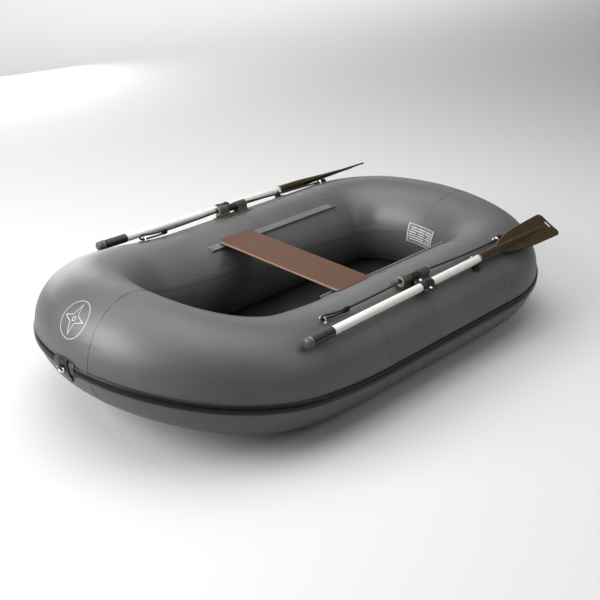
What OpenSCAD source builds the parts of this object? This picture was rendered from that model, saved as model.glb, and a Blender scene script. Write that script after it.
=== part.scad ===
// Inflatable rowing dinghy: a one-piece ring of PVC tube, a fabric floor, a sliding plywood
// seat and two oars stowed along the tops of the side tubes. +X is forward, +Y is to port,
// +Z is up, and the origin is on the ground under the middle of the boat.

/* [Hull] */
// Overall length with the tow ring
hull_l = 2238; // [2160:2:2700]
// Overall width of the inflated tube, without the rubbing strake
hull_w = 1270; // [1180:2:1530]
// Outer diameter of the inflated tube
tube_d = 400; // [330:1:420]
// Thickness of the PVC fabric
skin_t = 1; // [0.7:0.1:1.2]
// Radius of the tube's centreline at each bow corner
bow_corner_r = 408; // [340:4:410]
// Angle from straight ahead at which the bow corner meets the blunt bow
bow_corner_a = 51; // [40:1:60]
// Radius of the tube's centreline at each stern corner
stern_corner_r = 297; // [250:1:310]
// Angle from straight astern at which the stern corner meets the blunt stern
stern_corner_a = 21; // [18:1:30]
// Height by which the bow is raised
bow_rise = 135; // [80:5:160]
// Height by which the stern is raised
stern_rise = 21; // [10:1:40]
// Length of straight side that already rises, behind the bow corner
bow_sheer_run = 290; // [200:5:300]
// Length of straight side that already rises, ahead of the stern corner
stern_sheer_run = 68; // [40:2:100]
// Place of the seam between the fore and the aft air chamber
chamber_x = -95; // [-160:5:-60]
// Half angle of the panel at the bow centre
bow_panel_a = 10.5; // [8:0.5:14]
// Angle inboard from the crown at which the floor is welded on
floor_a = 140; // [125:1:150]
// Thickness of the floor fabric
floor_t = 1.2; // [1:0.1:2]

/* [Rubbing strake] */
// Width of the strake round the tube
strake_w = 40; // [30:1:50]
// Thickness of the strake
strake_t = 7; // [5:0.5:9]
// Height of the grey joint patch over the strake at the bow
joint_patch_h = 62; // [50:2:80]
// Length of the joint patch
joint_patch_l = 110; // [80:5:140]

/* [Tow ring] */
// Width and height of the tow ring's pad
tow_pad_w = 64; // [50:2:90]
// Inside radius of the tow ring
tow_ring_r = 15; // [12:1:20]
// Radius of the tow ring's rod
tow_rod_r = 3; // [2:0.5:4]
// Distance from the hull to the middle of the tow ring's rod, at its hinge
tow_standoff = 17; // [15:1:22]

/* [Seat] */
// Overhang of the seat board past each rail
seat_overhang = 36; // [24:1:40]
// Width of the seat board fore and aft
seat_w = 174; // [150:2:220]
// Thickness of the seat board
seat_t = 9; // [8:1:14]
// Place of the seat's middle
seat_x = 51; // [0:1:90]
// Height of the seat board's underside above the middle of the rail's bead
seat_above_bead = 10; // [9:0.5:16]
// Corner radius of the seat board
seat_corner_r = 22; // [10:1:40]
// Angle inboard from the crown at which each seat rail stands
rail_a = 40; // [36:1:44]
// Reach of the rails past each end of the level stretch of tube
rail_reach = 20; // [0:1:24]
// Distance of the rail's bead from the tube
bead_standoff = 9; // [8:0.5:10]
// Radius of the rail's bead
bead_r = 3.5; // [3:0.25:4]

/* [Rowlock] */
// Place of the rowlock's middle
lock_x = -84; // [-120:1:-60]
// Angle outboard from the crown at which the rowlock stands
lock_a = 17.3; // [10:0.1:22]
// Height of the rowlock's bore above the tube
lock_h = 28.4; // [27:0.2:34]
// Outer radius of the rowlock's lugs
lug_r = 18; // [17:0.5:20]
// Length of each lug
lug_l = 50; // [40:1:60]
// Gap between the lugs
lug_gap = 50; // [44:1:60]
// Outer radius of the hollow axle
axle_r = 13; // [12:0.5:14]
// Wall of the hollow axle
axle_wall = 2.5; // [2:0.5:3]
// Length of the rowlock's sole
sole_l = 194; // [180:2:220]
// Width of the rowlock's sole
sole_w = 84; // [70:2:100]
// Distance from the rowlock's bore to the oar's middle
arm_l = 61; // [58:1:70]

/* [Oars] */
// Length of an oar
oar_l = 1500; // [1400:10:1650]
// Length of the oar ahead of the rowlock
oar_fore_l = 642; // [600:2:680]
// Outer radius of the oar's shaft
shaft_r = 16; // [14:0.5:17]
// Wall of the oar's shaft
shaft_wall = 1.5; // [1:0.25:2]
// Toe-in of a stowed oar towards the stern
oar_yaw = 1; // [0:0.1:1.5]
// Droop of a stowed oar towards the stern
oar_pitch = 0.8; // [0:0.1:1]
// Length of the hand grip with its cap
grip_l = 135; // [110:5:160]
// Length from the grip's end to the blade's socket
socket_at = 980; // [940:5:1000]
// Length from the grip's end to where the blade opens out
blade_at = 1110; // [1080:5:1150]
// Width of the blade at its tip
blade_w = 126; // [110:2:140]
// Thickness of the blade
blade_t = 5; // [4:0.5:7]
// Roll of the blade, outboard edge down
blade_roll = 11; // [8:1:16]
// Length of the collar that holds the oar
collar_l = 64; // [50:2:84]
// Place of the stowing cradle
cradle_x = -408; // [-440:2:-380]

/* [Grab lines] */
// Diameter of the grab line
rope_d = 8; // [6:0.5:9]
// Place of the fore pad eye
eye_fore_x = 388; // [340:2:410]
// Place of the aft pad eye
eye_aft_x = -618; // [-640:2:-560]
// Angle outboard from the crown at which both pad eyes stand
eye_a = 17.3; // [10:0.1:22]
// Radius of a pad eye's pad
eye_pad_r = 24; // [20:1:30]
// Inside radius of a pad eye's bow
eye_bow_r = 10; // [9:0.5:12]

/* [Valves] */
// Place of the fore chamber's valve
valve_fore_x = 20; // [-20:5:80]
// Place of the aft chamber's valve
valve_aft_x = -230; // [-300:5:-170]
// Angle inboard from the crown at which the valves stand
valve_a = 80; // [75:1:100]
// Radius of a valve's flange
valve_flange_r = 30; // [26:1:34]
// Radius of a valve's screw cap
valve_cap_r = 21; // [18:1:23]

/* [Hidden] */

$fn = 64;
sides = 32;             // flats round a faceted tube
gap = 0.3;              // clearance between pieces that don't touch
lay = 0.4;              // clearance under a piece that lies on the tube
tube_r = tube_d / 2;
side_y = hull_w / 2 - tube_r;
bow_a = hull_l / 2 - tube_r - tow_standoff - 2 * tow_rod_r;
stern_a = hull_l / 2 - tube_r - strake_t;
bow_end_r = end_r(bow_corner_r, bow_corner_a);
stern_end_r = end_r(stern_corner_r, stern_corner_a);
bow_straight = bow_a - bow_end_r + (bow_end_r - bow_corner_r) * cos(bow_corner_a);
stern_straight = stern_a - stern_end_r + (stern_end_r - stern_corner_r) * cos(stern_corner_a);
bow_level_x = bow_straight - bow_sheer_run;
stern_level_x = stern_straight - stern_sheer_run;
lock_half = lug_l + lug_gap / 2;
strake_a = strake_w / tube_r * 180 / PI;
press_fit = 0.05;       // clearance of a pressed or glued joint
running_fit = 0.08;     // clearance of the hub on its axle
label_lay = lay + (stern_end_r - tube_r) * (1 - cos(stern_corner_a / 6)); // clear of the rounded inner wall
tow_pad_t = 3;
tow_pad_top = 86;       // angles from the crown
tow_pad_low = 116;
tow_hinge_a = 95;
tow_loop_w = 20;
rail_y = side_y - (tube_r + bead_standoff) * sin(rail_a);
rail_z = tube_r + (tube_r + bead_standoff) * cos(rail_a);
rail_fore_x = bow_level_x + rail_reach;
rail_aft_x = -stern_level_x - rail_reach / 2;
seat_low = rail_z + seat_above_bead;
seat_half = rail_y + seat_overhang;
web_t = 1.5;
runner_play = 0.5;
screw_r = 2;
screw_l = 4;            // depth of a seat screw in its runner
screw_head_t = 2;       // the heads lie flush in the board
sole_t = 4;
hub_r = lug_r - 1;
hub_arm_w = 36;
hub_arm_t = 14;
collar_wall = 4;
flange_t = 6;
bolt_y = shaft_r + collar_wall + 5;
bolt_r = 3;
cap_t = 26;
shaft_end = socket_at + 60;
rib_splay = 4.2;
cradle_w = 22;
cradle_lip = 5;
eye_pad_t = 3;
eye_rod_r = 2.5;
valve_neck_r = valve_cap_r - 1;
valve_bore_r = valve_neck_r - 5;
// Port grab line from its knot, round the fore eye's bow, back through the rowlock to the aft eye
grab_route = [[266, 503, 405], [290, 502, 404], [320, 501, 404], [350, 500, 406], [374, 498, 408],
    [388, 497, 410], [398, 498, 412], [403, 500, 416], [403, 502, 421], [398, 503, 425],
    [387, 503, 426], [372, 503, 423], [350, 503, 419], [320, 503, 416], [290, 503, 414],
    [260, 503, 413], [200, 503, 413], [140, 503, 414], [80, 503, 415], [30, 503, 417],
    [-10, 503, 418], [-84, 503, 418], [-160, 503, 418], [-200, 503, 417], [-260, 503, 413],
    [-330, 502, 409], [-400, 501, 405], [-470, 500, 403], [-540, 498, 401], [-595, 496, 400],
    [-624, 495, 400], [-645, 493, 400]];

// Radius of the blunt end arc that joins a corner arc smoothly
function end_r(r, a) = r + (side_y - r) / sin(a);
// Height of the tube above level at a place along the boat
function sheer(x) =
    x > bow_level_x ? bow_rise * pow((x - bow_level_x) / (bow_a - bow_level_x), 2)
    : x < -stern_level_x ? stern_rise * pow((-x - stern_level_x) / (stern_a - stern_level_x), 2)
    : 0;
// A point of one end's centreline by its outward angle: 0 on the boat's middle line, 90 on the side
function end_pt(a, r, ca, er, straight, len) =
    a > ca ? [straight + r * cos(a), side_y - r + r * sin(a)]
    : [len - er + er * cos(a), er * sin(a)];
// Stations hold x, y and the outward angle seen from above
function bow_st(a) =
    let (p = end_pt(a, bow_corner_r, bow_corner_a, bow_end_r, bow_straight, bow_a))
    [p.x, p.y, a];
function stern_st(a) =
    let (p = end_pt(a, stern_corner_r, stern_corner_a, stern_end_r, stern_straight, stern_a))
    [-p.x, p.y, 180 - a];
function side_st(x) = [x, side_y, 90];
function mirror_st(s) = [s.x, -s.y, -s.z];
function steps(a, b, n) = [for (i = [0:n]) a + (b - a) * i / n];
function bow_run(a, b, n) = [for (t = steps(a, b, n)) t < 0 ? mirror_st(bow_st(-t)) : bow_st(t)];
function stern_run(a, b, n) = [for (t = steps(a, b, n)) t < 0 ? mirror_st(stern_st(-t)) : stern_st(t)];
function side_run(a, b, n) = [for (x = steps(a, b, n)) side_st(x)];
// The port half of the outline from bow to stern, and the whole of it
port_half = concat(bow_run(0, bow_panel_a, 2), bow_run(bow_panel_a + 6, bow_corner_a, 5),
    bow_run(bow_corner_a + 8, 90, 4), side_run(bow_straight - 60, bow_level_x, 3),
    [side_st(-stern_level_x)], stern_run(90, stern_corner_a, 6), stern_run(stern_corner_a - 7, 0, 2));
full_loop = concat(port_half, [for (i = [len(port_half) - 2:-1:1]) mirror_st(port_half[i])]);
// A point on the tube at a station: th turns outboard from the crown, rho is from the tube's middle
function on_tube(s, th, rho) =
    [s.x + rho * sin(th) * cos(s.z), s.y + rho * sin(th) * sin(s.z),
        tube_r + sheer(s.x) + rho * cos(th)];
// Station on the port side for a place along the boat, on the straight or on a corner
function port_st(x) =
    x > bow_straight ? bow_st(acos((x - bow_straight) / bow_corner_r))
    : x < -stern_straight ? stern_st(acos((-x - stern_straight) / stern_corner_r))
    : side_st(x);

module port_or_stbd(side) {
    if (side == "port") children();
    else mirror([0, 1, 0]) children();
}

// Closed wall of tube along stations
module tube_wall(run) {
    n = len(run);
    points = [for (s = run, rho = [tube_r, tube_r - skin_t], j = [0:sides - 1])
        on_tube(s, 360 * j / sides, rho)];
    function id(i, layer, j) = (2 * i + layer) * sides + j % sides;
    walls = [for (i = [0:n - 2], j = [0:sides - 1], layer = [0, 1])
        layer == 0 ? [id(i, 0, j), id(i + 1, 0, j), id(i + 1, 0, j + 1), id(i, 0, j + 1)]
        : [id(i, 1, j), id(i, 1, j + 1), id(i + 1, 1, j + 1), id(i + 1, 1, j)]];
    ends = [for (j = [0:sides - 1], e = [0, 1])
        e == 0 ? [id(0, 0, j), id(0, 0, j + 1), id(0, 1, j + 1), id(0, 1, j)]
        : [id(n - 1, 0, j), id(n - 1, 1, j), id(n - 1, 1, j + 1), id(n - 1, 0, j + 1)]];
    polyhedron(points, concat(walls, ends), convexity = 6);
}

// Strip of fabric that follows the tube: each radius is one value, or one for each angle
module tube_strip(run, angles, rho_out, rho_in, loop = false) {
    n = len(run);
    m = len(angles);
    outs = is_list(rho_out) ? rho_out : [for (a = angles) rho_out];
    ins = is_list(rho_in) ? rho_in : [for (a = angles) rho_in];
    points = concat([for (s = run, j = [0:m - 1]) on_tube(s, angles[j], outs[j])],
        [for (s = run, j = [0:m - 1]) on_tube(s, angles[j], ins[j])]);
    function id(i, layer, j) = layer * n * m + (i % n) * m + j;
    last = loop ? n - 1 : n - 2;
    faces = [for (i = [0:last], j = [0:m - 2], layer = [0, 1])
        layer == 0 ? [id(i, 0, j), id(i + 1, 0, j), id(i + 1, 0, j + 1), id(i, 0, j + 1)]
        : [id(i, 1, j), id(i, 1, j + 1), id(i + 1, 1, j + 1), id(i + 1, 1, j)]];
    edges = [for (i = [0:last], j = [0, m - 1])
        j == 0 ? [id(i, 0, 0), id(i, 1, 0), id(i + 1, 1, 0), id(i + 1, 0, 0)]
        : [id(i, 0, j), id(i + 1, 0, j), id(i + 1, 1, j), id(i, 1, j)]];
    ends = loop ? [] : [for (j = [0:m - 2], e = [0, 1])
        e == 0 ? [id(0, 0, j), id(0, 0, j + 1), id(0, 1, j + 1), id(0, 1, j)]
        : [id(n - 1, 0, j), id(n - 1, 1, j), id(n - 1, 1, j + 1), id(n - 1, 0, j + 1)]];
    polyhedron(points, concat(faces, edges, ends), convexity = 6);
}

// Level stretch of side tube, a true cylinder, with the valve's hole
module level_tube(x0, x1, valve_x, with_valve) {
    difference() {
        translate([x0, side_y, tube_r]) rotate([0, 90, 0]) cylinder(r = tube_r, h = x1 - x0, $fn = 96);
        translate([x0 - 1, side_y, tube_r]) rotate([0, 90, 0])
            cylinder(r = tube_r - skin_t, h = x1 - x0 + 2, $fn = 96);
        if (with_valve) on_side(valve_x, -valve_a) translate([0, 0, -20])
            cylinder(r = valve_neck_r + gap, h = 40);
    }
}

// Frame on the port tube's surface: Z points out of the tube, X runs forward along the sheer
module on_side(x, a) {
    s = port_st(x);
    slope = atan((sheer(x + 1) - sheer(x - 1)) / 2);
    translate(on_tube(s, a, tube_r)) rotate([0, 0, s.z - 90]) rotate([0, -slope, 0]) rotate([-a, 0, 0])
        children();
}

module bow_panel() {
    color("#4b4d50") tube_wall(bow_run(-bow_panel_a, bow_panel_a, 4));
}

module bow_quarter(side) {
    color("#4b4d50") port_or_stbd(side) tube_wall(concat([bow_st(bow_panel_a)],
        bow_run(bow_panel_a + 6, bow_corner_a, 5)));
}

module bow_corner(side) {
    color("#4b4d50") port_or_stbd(side) tube_wall(concat([bow_st(bow_corner_a)],
        bow_run(bow_corner_a + 8, 90, 4), side_run(bow_straight - 60, bow_level_x, 3)));
}

module fore_tube(side) {
    color("#4b4d50") port_or_stbd(side)
        level_tube(chamber_x, bow_level_x, valve_fore_x, side == "port");
}

module aft_tube(side) {
    color("#4b4d50") port_or_stbd(side)
        level_tube(-stern_level_x, chamber_x, valve_aft_x, side == "port");
}

module stern_corner(side) {
    color("#4b4d50") port_or_stbd(side)
        tube_wall(concat([side_st(-stern_level_x)], stern_run(90, stern_corner_a, 6)));
}

module stern_panel() {
    color("#4b4d50") tube_wall(stern_run(stern_corner_a, -stern_corner_a, 6));
}

// Fabric wall between the fore and the aft air chamber
module bulkhead(side) {
    color("#5a5c60") port_or_stbd(side) translate([chamber_x - skin_t / 2, side_y, tube_r])
        rotate([0, 90, 0]) cylinder(r = tube_r - skin_t - gap, h = skin_t);
}

// Floor of coated fabric, which follows the tube up at both ends
module floor_skin() {
    rows = [for (i = [2:len(port_half) - 2]) on_tube(port_half[i], -floor_a, tube_r + lay)];
    n = len(rows);
    points = [for (p = rows, side = [1, -1], h = [0, floor_t]) [p.x, side * p.y, p.z + h - floor_t]];
    // each row holds port low, port high, starboard low, starboard high
    faces = [for (i = [0:n - 2], f = [0:3])
        f == 0 ? [4 * i + 3, 4 * i + 7, 4 * i + 5, 4 * i + 1]
        : f == 1 ? [4 * i + 4, 4 * i + 6, 4 * i + 2, 4 * i]
        : f == 2 ? [4 * i + 1, 4 * i + 5, 4 * i + 4, 4 * i]
        : [4 * i + 6, 4 * i + 7, 4 * i + 3, 4 * i + 2]];
    k = 4 * (n - 1);
    color("#2c2d2f") polyhedron(points, concat(faces, [[2, 3, 1, 0], [k + 1, k + 3, k + 2, k]]),
        convexity = 4);
}

// Ribbed rubber strake, from the tube's middle height downwards
module strake() {
    ribs = [0.6, 1, 0.75, 1, 0.75, 1, 0.6];
    angles = [for (i = [0:6]) 90 + strake_a * i / 6];
    color("#171513") tube_strip(full_loop, angles, [for (k = ribs) tube_r + strake_t * k],
        tube_r + lay, true);
}

// Grey patch of fabric over the strake's joint at the bow
module strake_joint_patch() {
    half = joint_patch_l / 2 / (bow_end_r + tube_r) * 180 / PI;
    reach = (joint_patch_h - strake_w) / 2 / tube_r * 180 / PI;
    angles = [90 - reach, 89, 90 + strake_a / 2, 91 + strake_a, 90 + strake_a + reach];
    under = [tube_r + lay, tube_r + strake_t + lay, tube_r + strake_t + lay, tube_r + strake_t + lay,
        tube_r + lay];
    color("#55585a") tube_strip(bow_run(-half, half, 4), angles, [for (u = under) u + skin_t], under);
}

// Thick pad on the bow with the loop that holds the tow ring
module tow_pad() {
    half = tow_pad_w / 2 / (bow_end_r + tube_r) * 180 / PI;
    under = tube_r + strake_t + skin_t + 3 * lay;
    color("#141414") difference() {
        union() {
            tube_strip(bow_run(-half, half, 2), steps(tow_pad_top, tow_pad_low, 6), under + tow_pad_t, under);
            at_tow_hinge() rotate([90, 0, 0]) cylinder(r = 2 * tow_rod_r, h = tow_loop_w, center = true);
            at_tow_hinge() translate([-tow_standoff + strake_t + tow_pad_t, -tow_loop_w / 2, -tow_rod_r])
                cube([tow_standoff - strake_t - tow_pad_t, tow_loop_w, 2 * tow_rod_r]);
        }
        at_tow_hinge() rotate([90, 0, 0]) cylinder(r = tow_rod_r + gap, h = tow_loop_w + 2, center = true);
    }
}

module at_tow_hinge() {
    translate([bow_a + tube_r + tow_standoff, 0, tube_r + bow_rise + tube_r * cos(tow_hinge_a)]) children();
}

// D-shaped steel ring: a straight bar through the loop and a half round below it
module tow_ring() {
    mid = tow_ring_r + tow_rod_r;
    color("#c9cbcd") at_tow_hinge() {
        rotate([90, 0, 0]) cylinder(r = tow_rod_r, h = 2 * mid, center = true);
        for (side = [-1, 1]) translate([0, side * mid, 0]) sphere(r = tow_rod_r);
        rotate([90, 0, 90]) rotate([0, 0, 180]) rotate_extrude(angle = 180)
            translate([mid, 0]) circle(r = tow_rod_r);
    }
}

// Printed plate on the inner wall at the stern
module label_plate() {
    color("#3a3b3d") tube_strip(stern_run(14, -3.5, 3), steps(-91, -67, 3),
        tube_r + label_lay + 0.6, tube_r + label_lay);
}

module seat_outline() {
    x = seat_w / 2;
    y = seat_half;
    r = seat_corner_r;
    square([2 * x, 2 * (y - r)], center = true);
    square([2 * (x - r), 2 * y], center = true);
    for (i = [-1, 1], j = [-1, 1]) translate([i * (x - r), j * (y - r)]) circle(r = r);
}

// Plywood board, relieved underneath where its ends lie over the side tubes
module seat_board() {
    color("#6f4f3c") difference() {
        translate([seat_x, 0, seat_low]) linear_extrude(seat_t) seat_outline();
        for (side = [-1, 1]) translate([seat_x - seat_w, side * side_y, tube_r]) rotate([0, 90, 0])
            cylinder(r = tube_r + 2 * gap, h = 2 * seat_w);
        at_seat_screws() {
            translate([0, 0, -1]) cylinder(r = screw_r + gap / 2, h = seat_t + 2);
            translate([0, 0, seat_t - screw_head_t]) cylinder(r = 2 * screw_r + gap / 2, h = screw_head_t + 1);
        }
    }
}

module at_seat_screws() {
    for (i = [-1, 1], j = [-1, 1])
        translate([seat_x + i * seat_w * 0.3, j * rail_y, seat_low]) children();
}

// Channel under the seat that clasps the rail's bead
module seat_runner(side) {
    length = seat_w - 2 * seat_corner_r;
    wall = 2;
    inner = bead_r + runner_play;
    color("#2a2a2c") port_or_stbd(side) difference() {
        translate([seat_x - length / 2, rail_y, rail_z]) rotate([90, 0, 90]) linear_extrude(length)
            difference() {
                union() {
                    circle(r = inner + wall);
                    translate([-inner - wall, 0]) square([2 * (inner + wall), seat_low - rail_z - 0.02]);
                }
                circle(r = inner);
                rotate([0, 0, rail_a - 90]) translate([0, -web_t / 2 - runner_play])
                    square([3 * inner, web_t + 2 * runner_play]);
            }
        for (i = [-1, 1]) translate([seat_x + i * seat_w * 0.3, rail_y, seat_low - screw_l])
            cylinder(r = screw_r + gap / 2, h = screw_l);
    }
}

module seat_screws() {
    color("#b9bbbd") at_seat_screws() {
        translate([0, 0, 0.5 - screw_l]) cylinder(r = screw_r, h = screw_l + seat_t - screw_head_t);
        translate([0, 0, seat_t - screw_head_t + 0.05]) cylinder(r = 2 * screw_r, h = screw_head_t - 0.1);
    }
}

// Bead, web and welded foot of the rail that the seat runs on
module seat_rail(side) {
    length = rail_fore_x - rail_aft_x;
    foot = steps(-rail_a - 7, -rail_a + 7, 8);
    color("#5c5f61") port_or_stbd(side) translate([rail_aft_x, side_y, tube_r]) rotate([90, 0, 90])
        linear_extrude(length) {
            polygon(concat([for (a = foot) (tube_r + lay) * [sin(a), cos(a)]],
                [for (i = [len(foot) - 1:-1:0]) (tube_r + lay + 1.2) * [sin(foot[i]), cos(foot[i])]]));
            rotate([0, 0, rail_a]) translate([-web_t / 2, tube_r + lay + 0.6])
                square([web_t, bead_standoff - lay - 0.6]);
            rotate([0, 0, rail_a]) translate([0, tube_r + bead_standoff]) circle(r = bead_r);
        }
}

module at_lock() {
    on_side(lock_x, lock_a) children();
}

module stadium(l, w) {
    square([l - w, w], center = true);
    for (i = [-1, 1]) translate([i * (l - w) / 2, 0]) circle(r = w / 2);
}

// Plate that fits the tube's curve, cut from its outline; drawn in a surface frame
module saddle(t) {
    intersection() {
        translate([-200, 0, -tube_r]) rotate([0, 90, 0]) difference() {
            cylinder(r = tube_r + lay + t, h = 400, $fn = 96);
            translate([0, 0, -1]) cylinder(r = tube_r + lay, h = 402, $fn = 96);
        }
        translate([0, 0, -30]) linear_extrude(60) children();
    }
}

// Glued sole with the two lugs that hold the hollow axle
module rowlock_base(side) {
    color("#2b2a20") port_or_stbd(side) at_lock() {
        difference() {
            union() {
                saddle(sole_t) stadium(sole_l, sole_w);
                for (i = [-1, 1]) {
                    translate([i * (lug_gap + lug_l) / 2, 0, lock_h]) rotate([0, 90, 0])
                        cylinder(r = lug_r, h = lug_l, center = true);
                    translate([i * (lug_gap + lug_l) / 2 - lug_l / 2, -lug_r * 0.75, 1.5])
                        cube([lug_l, lug_r * 1.5, lock_h]);
                }
            }
            translate([0, 0, lock_h]) rotate([0, 90, 0])
                cylinder(r = axle_r + press_fit, h = 3 * sole_l, center = true);
        }
    }
}

// Hollow axle with a collar at each end, which the grab line runs through
module rowlock_axle(side) {
    flange_t = 2.5;
    color("#8c8d8c") port_or_stbd(side) at_lock() translate([0, 0, lock_h]) rotate([0, 90, 0]) difference() {
        union() {
            cylinder(r = axle_r, h = 2 * lock_half + 2 * flange_t, center = true);
            for (i = [-1, 1]) translate([0, 0, i * (lock_half + flange_t / 2 + 0.05)])
                cylinder(r = axle_r + 2.5, h = flange_t, center = true);
        }
        cylinder(r = axle_r - axle_wall, h = 3 * lock_half, center = true);
    }
}

module at_oar() {
    at_lock() translate([0, arm_l, lock_h]) rotate([0, -oar_pitch, oar_yaw]) children();
}

module oar_rod(r, from, to) {
    translate([oar_fore_l - to, 0, 0]) rotate([0, 90, 0]) cylinder(r = r, h = to - from);
}

// One half of the collar: up = 1 for the cap, -1 for the half that the hub carries
module collar_half(up) {
    outer = shaft_r + collar_wall;
    intersection() {
        union() {
            rotate([0, 90, 0]) cylinder(r = outer, h = collar_l, center = true);
            translate([-collar_l / 2, -bolt_y - 7, up > 0 ? 0 : -flange_t])
                cube([collar_l, 2 * bolt_y + 14, flange_t]);
        }
        translate([-collar_l, -2 * outer, up > 0 ? 0.5 : -2 * outer - 0.5])
            cube([2 * collar_l, 4 * outer, 2 * outer]);
    }
}

// Hub that turns on the axle, with its arm and the lower half of the collar
module rowlock_hub(side) {
    color("#151515") port_or_stbd(side) difference() {
        union() {
            at_lock() translate([0, 0, lock_h]) rotate([0, 90, 0])
                cylinder(r = hub_r, h = lug_gap - 2 * gap, center = true);
            at_lock() translate([-hub_arm_w / 2, 0, lock_h - hub_arm_t])
                cube([hub_arm_w, arm_l - shaft_r / 2, hub_arm_t - 1]);
            at_oar() collar_half(-1);
        }
        at_lock() translate([0, 0, lock_h]) rotate([0, 90, 0])
            cylinder(r = axle_r + running_fit, h = 2 * lug_gap, center = true);
        at_oar() rotate([0, 90, 0]) cylinder(r = shaft_r + press_fit, h = 2 * collar_l, center = true);
        at_oar() bolt_holes();
    }
}

module bolt_holes() {
    for (j = [-1, 1]) translate([0, j * bolt_y, -40]) cylinder(r = bolt_r + gap / 2, h = 80);
}

module collar_cap(side) {
    color("#2b2a20") port_or_stbd(side) at_oar() difference() {
        collar_half(1);
        rotate([0, 90, 0]) cylinder(r = shaft_r + press_fit, h = 2 * collar_l, center = true);
        bolt_holes();
    }
}

// Two bolts across the collar's joint, each with a round head above and a nut below
module collar_bolts(side) {
    color("#c9cbcd") port_or_stbd(side) at_oar() for (j = [-1, 1]) translate([0, j * bolt_y, 0]) {
        translate([0, 0, -flange_t - 5]) cylinder(r = bolt_r, h = 2 * flange_t + 6);
        translate([0, 0, flange_t + 0.05]) cylinder(r = 2 * bolt_r, h = 4);
        if (j > 0) translate([0, 0, -flange_t - 4.05]) cylinder(r = 2 * bolt_r, h = 4, $fn = 6);
    }
}

module oar_shaft(side) {
    color("#deded6") port_or_stbd(side) at_oar() difference() {
        oar_rod(shaft_r, cap_t + 0.1, shaft_end);
        oar_rod(shaft_r - shaft_wall, cap_t - 1, shaft_end + 1);
    }
}

module oar_grip(side) {
    color("#1b1a19") port_or_stbd(side) at_oar() difference() {
        union() {
            oar_rod(shaft_r + 2, cap_t + 0.1, grip_l);
            oar_rod(shaft_r + 3.5, cap_t + 0.1, cap_t + 6);
        }
        oar_rod(shaft_r + press_fit, 0, grip_l + 1);
    }
}

module oar_end_cap(side) {
    color("#8f9091") port_or_stbd(side) at_oar() {
        oar_rod(shaft_r + 3.5, 0, cap_t);
        oar_rod(shaft_r - shaft_wall - press_fit, cap_t - 0.5, cap_t + 20);
    }
}

// Half outline of the blade from its root to its rounded tip
function blade_side(up) =
    let (r = 18, x = oar_l - r, y = blade_w / 2 - r)
    concat([[blade_at - 20, up * 20], [blade_at, up * 22], [blade_at + 90, up * blade_w * 0.36]],
        [for (a = [80:-20:0]) [x + r * cos(a), up * (y + r * sin(a))]]);

// Moulded blade with its socket, a tapering spine and two ribs on each face
module oar_blade(side) {
    port = blade_side(1);
    stbd = blade_side(-1);
    color("#2b2718") port_or_stbd(side) at_oar() difference() {
        union() {
            oar_rod(shaft_r + 3, socket_at, blade_at + 10);
            translate([oar_fore_l, 0, 0]) rotate([-blade_roll, 0, 0]) rotate([0, 0, 180]) {
                translate([0, 0, -blade_t / 2]) linear_extrude(blade_t)
                    polygon(concat(port, [for (i = [len(stbd) - 1:-1:0]) stbd[i]]));
                translate([blade_at, 0, 0]) rotate([0, 90, 0])
                    cylinder(r1 = shaft_r - 4, r2 = blade_t / 2 + 1, h = oar_l - blade_at - 25);
                for (j = [-1, 1]) translate([blade_at + 15, j * 12, 0]) rotate([0, 0, j * rib_splay])
                    rotate([0, 90, 0]) cylinder(r = blade_t / 2 + 1, h = oar_l - blade_at - 60);
            }
        }
        oar_rod(shaft_r + press_fit, socket_at - 1, shaft_end + 0.5);
    }
}

// Cradle glued to the tube, with lips that stop below the shaft's middle
module oar_cradle(side) {
    reach = lock_x - cradle_x;
    y = arm_l - reach * tan(oar_yaw);
    z = lock_h - reach * tan(oar_pitch);
    color("#121212") port_or_stbd(side) difference() {
        at_lock() translate([-reach, 0, 0]) {
            translate([0, y, 0]) intersection() {
                translate([0, -y, 0]) saddle(2.5) translate([0, y]) square([44, 56], center = true);
                translate([-30, -40, -60]) cube([60, 80, 80]);
            }
            intersection() {
                translate([-cradle_w / 2, y - shaft_r - 6, -30])
                    cube([cradle_w, 2 * shaft_r + 12, z + 30 - cradle_lip]);
                translate([-100, 0, -tube_r]) rotate([0, 90, 0]) difference() {
                    cylinder(r = tube_r + 60, h = 200, $fn = 96);
                    translate([0, 0, -1]) cylinder(r = tube_r + lay + 1, h = 202, $fn = 96);
                }
            }
        }
        at_oar() rotate([0, 90, 0]) cylinder(r = shaft_r + 0.5, h = 3 * oar_l, center = true);
    }
}

// Cord tube along a list of points that never runs square across the boat
module cord_tube(points, r, flats = 8) {
    n = len(points);
    function along(i) = let (d = points[min(i + 1, n - 1)] - points[max(i - 1, 0)]) d / norm(d);
    function across(i) = let (t = along(i), v = [0, 1, 0] - t.y * t) v / norm(v);
    rings = [for (i = [0:n - 1], k = [0:flats - 1])
        points[i] + r * (cos(360 * k / flats) * across(i) + sin(360 * k / flats) * cross(along(i), across(i)))];
    walls = [for (i = [0:n - 2], k = [0:flats - 1])
        let (m = (k + 1) % flats) [i * flats + k, (i + 1) * flats + k, (i + 1) * flats + m, i * flats + m]];
    ends = [[for (k = [0:flats - 1]) k], [for (k = [flats - 1:-1:0]) (n - 1) * flats + k]];
    polyhedron(rings, concat(walls, ends), convexity = 8);
}

// Grab line: knotted back on itself at the fore eye, through the rowlock, to the aft eye
module grab_line(side) {
    color("#0e0e0e") port_or_stbd(side) cord_tube(grab_route, rope_d / 2);
}

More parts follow.
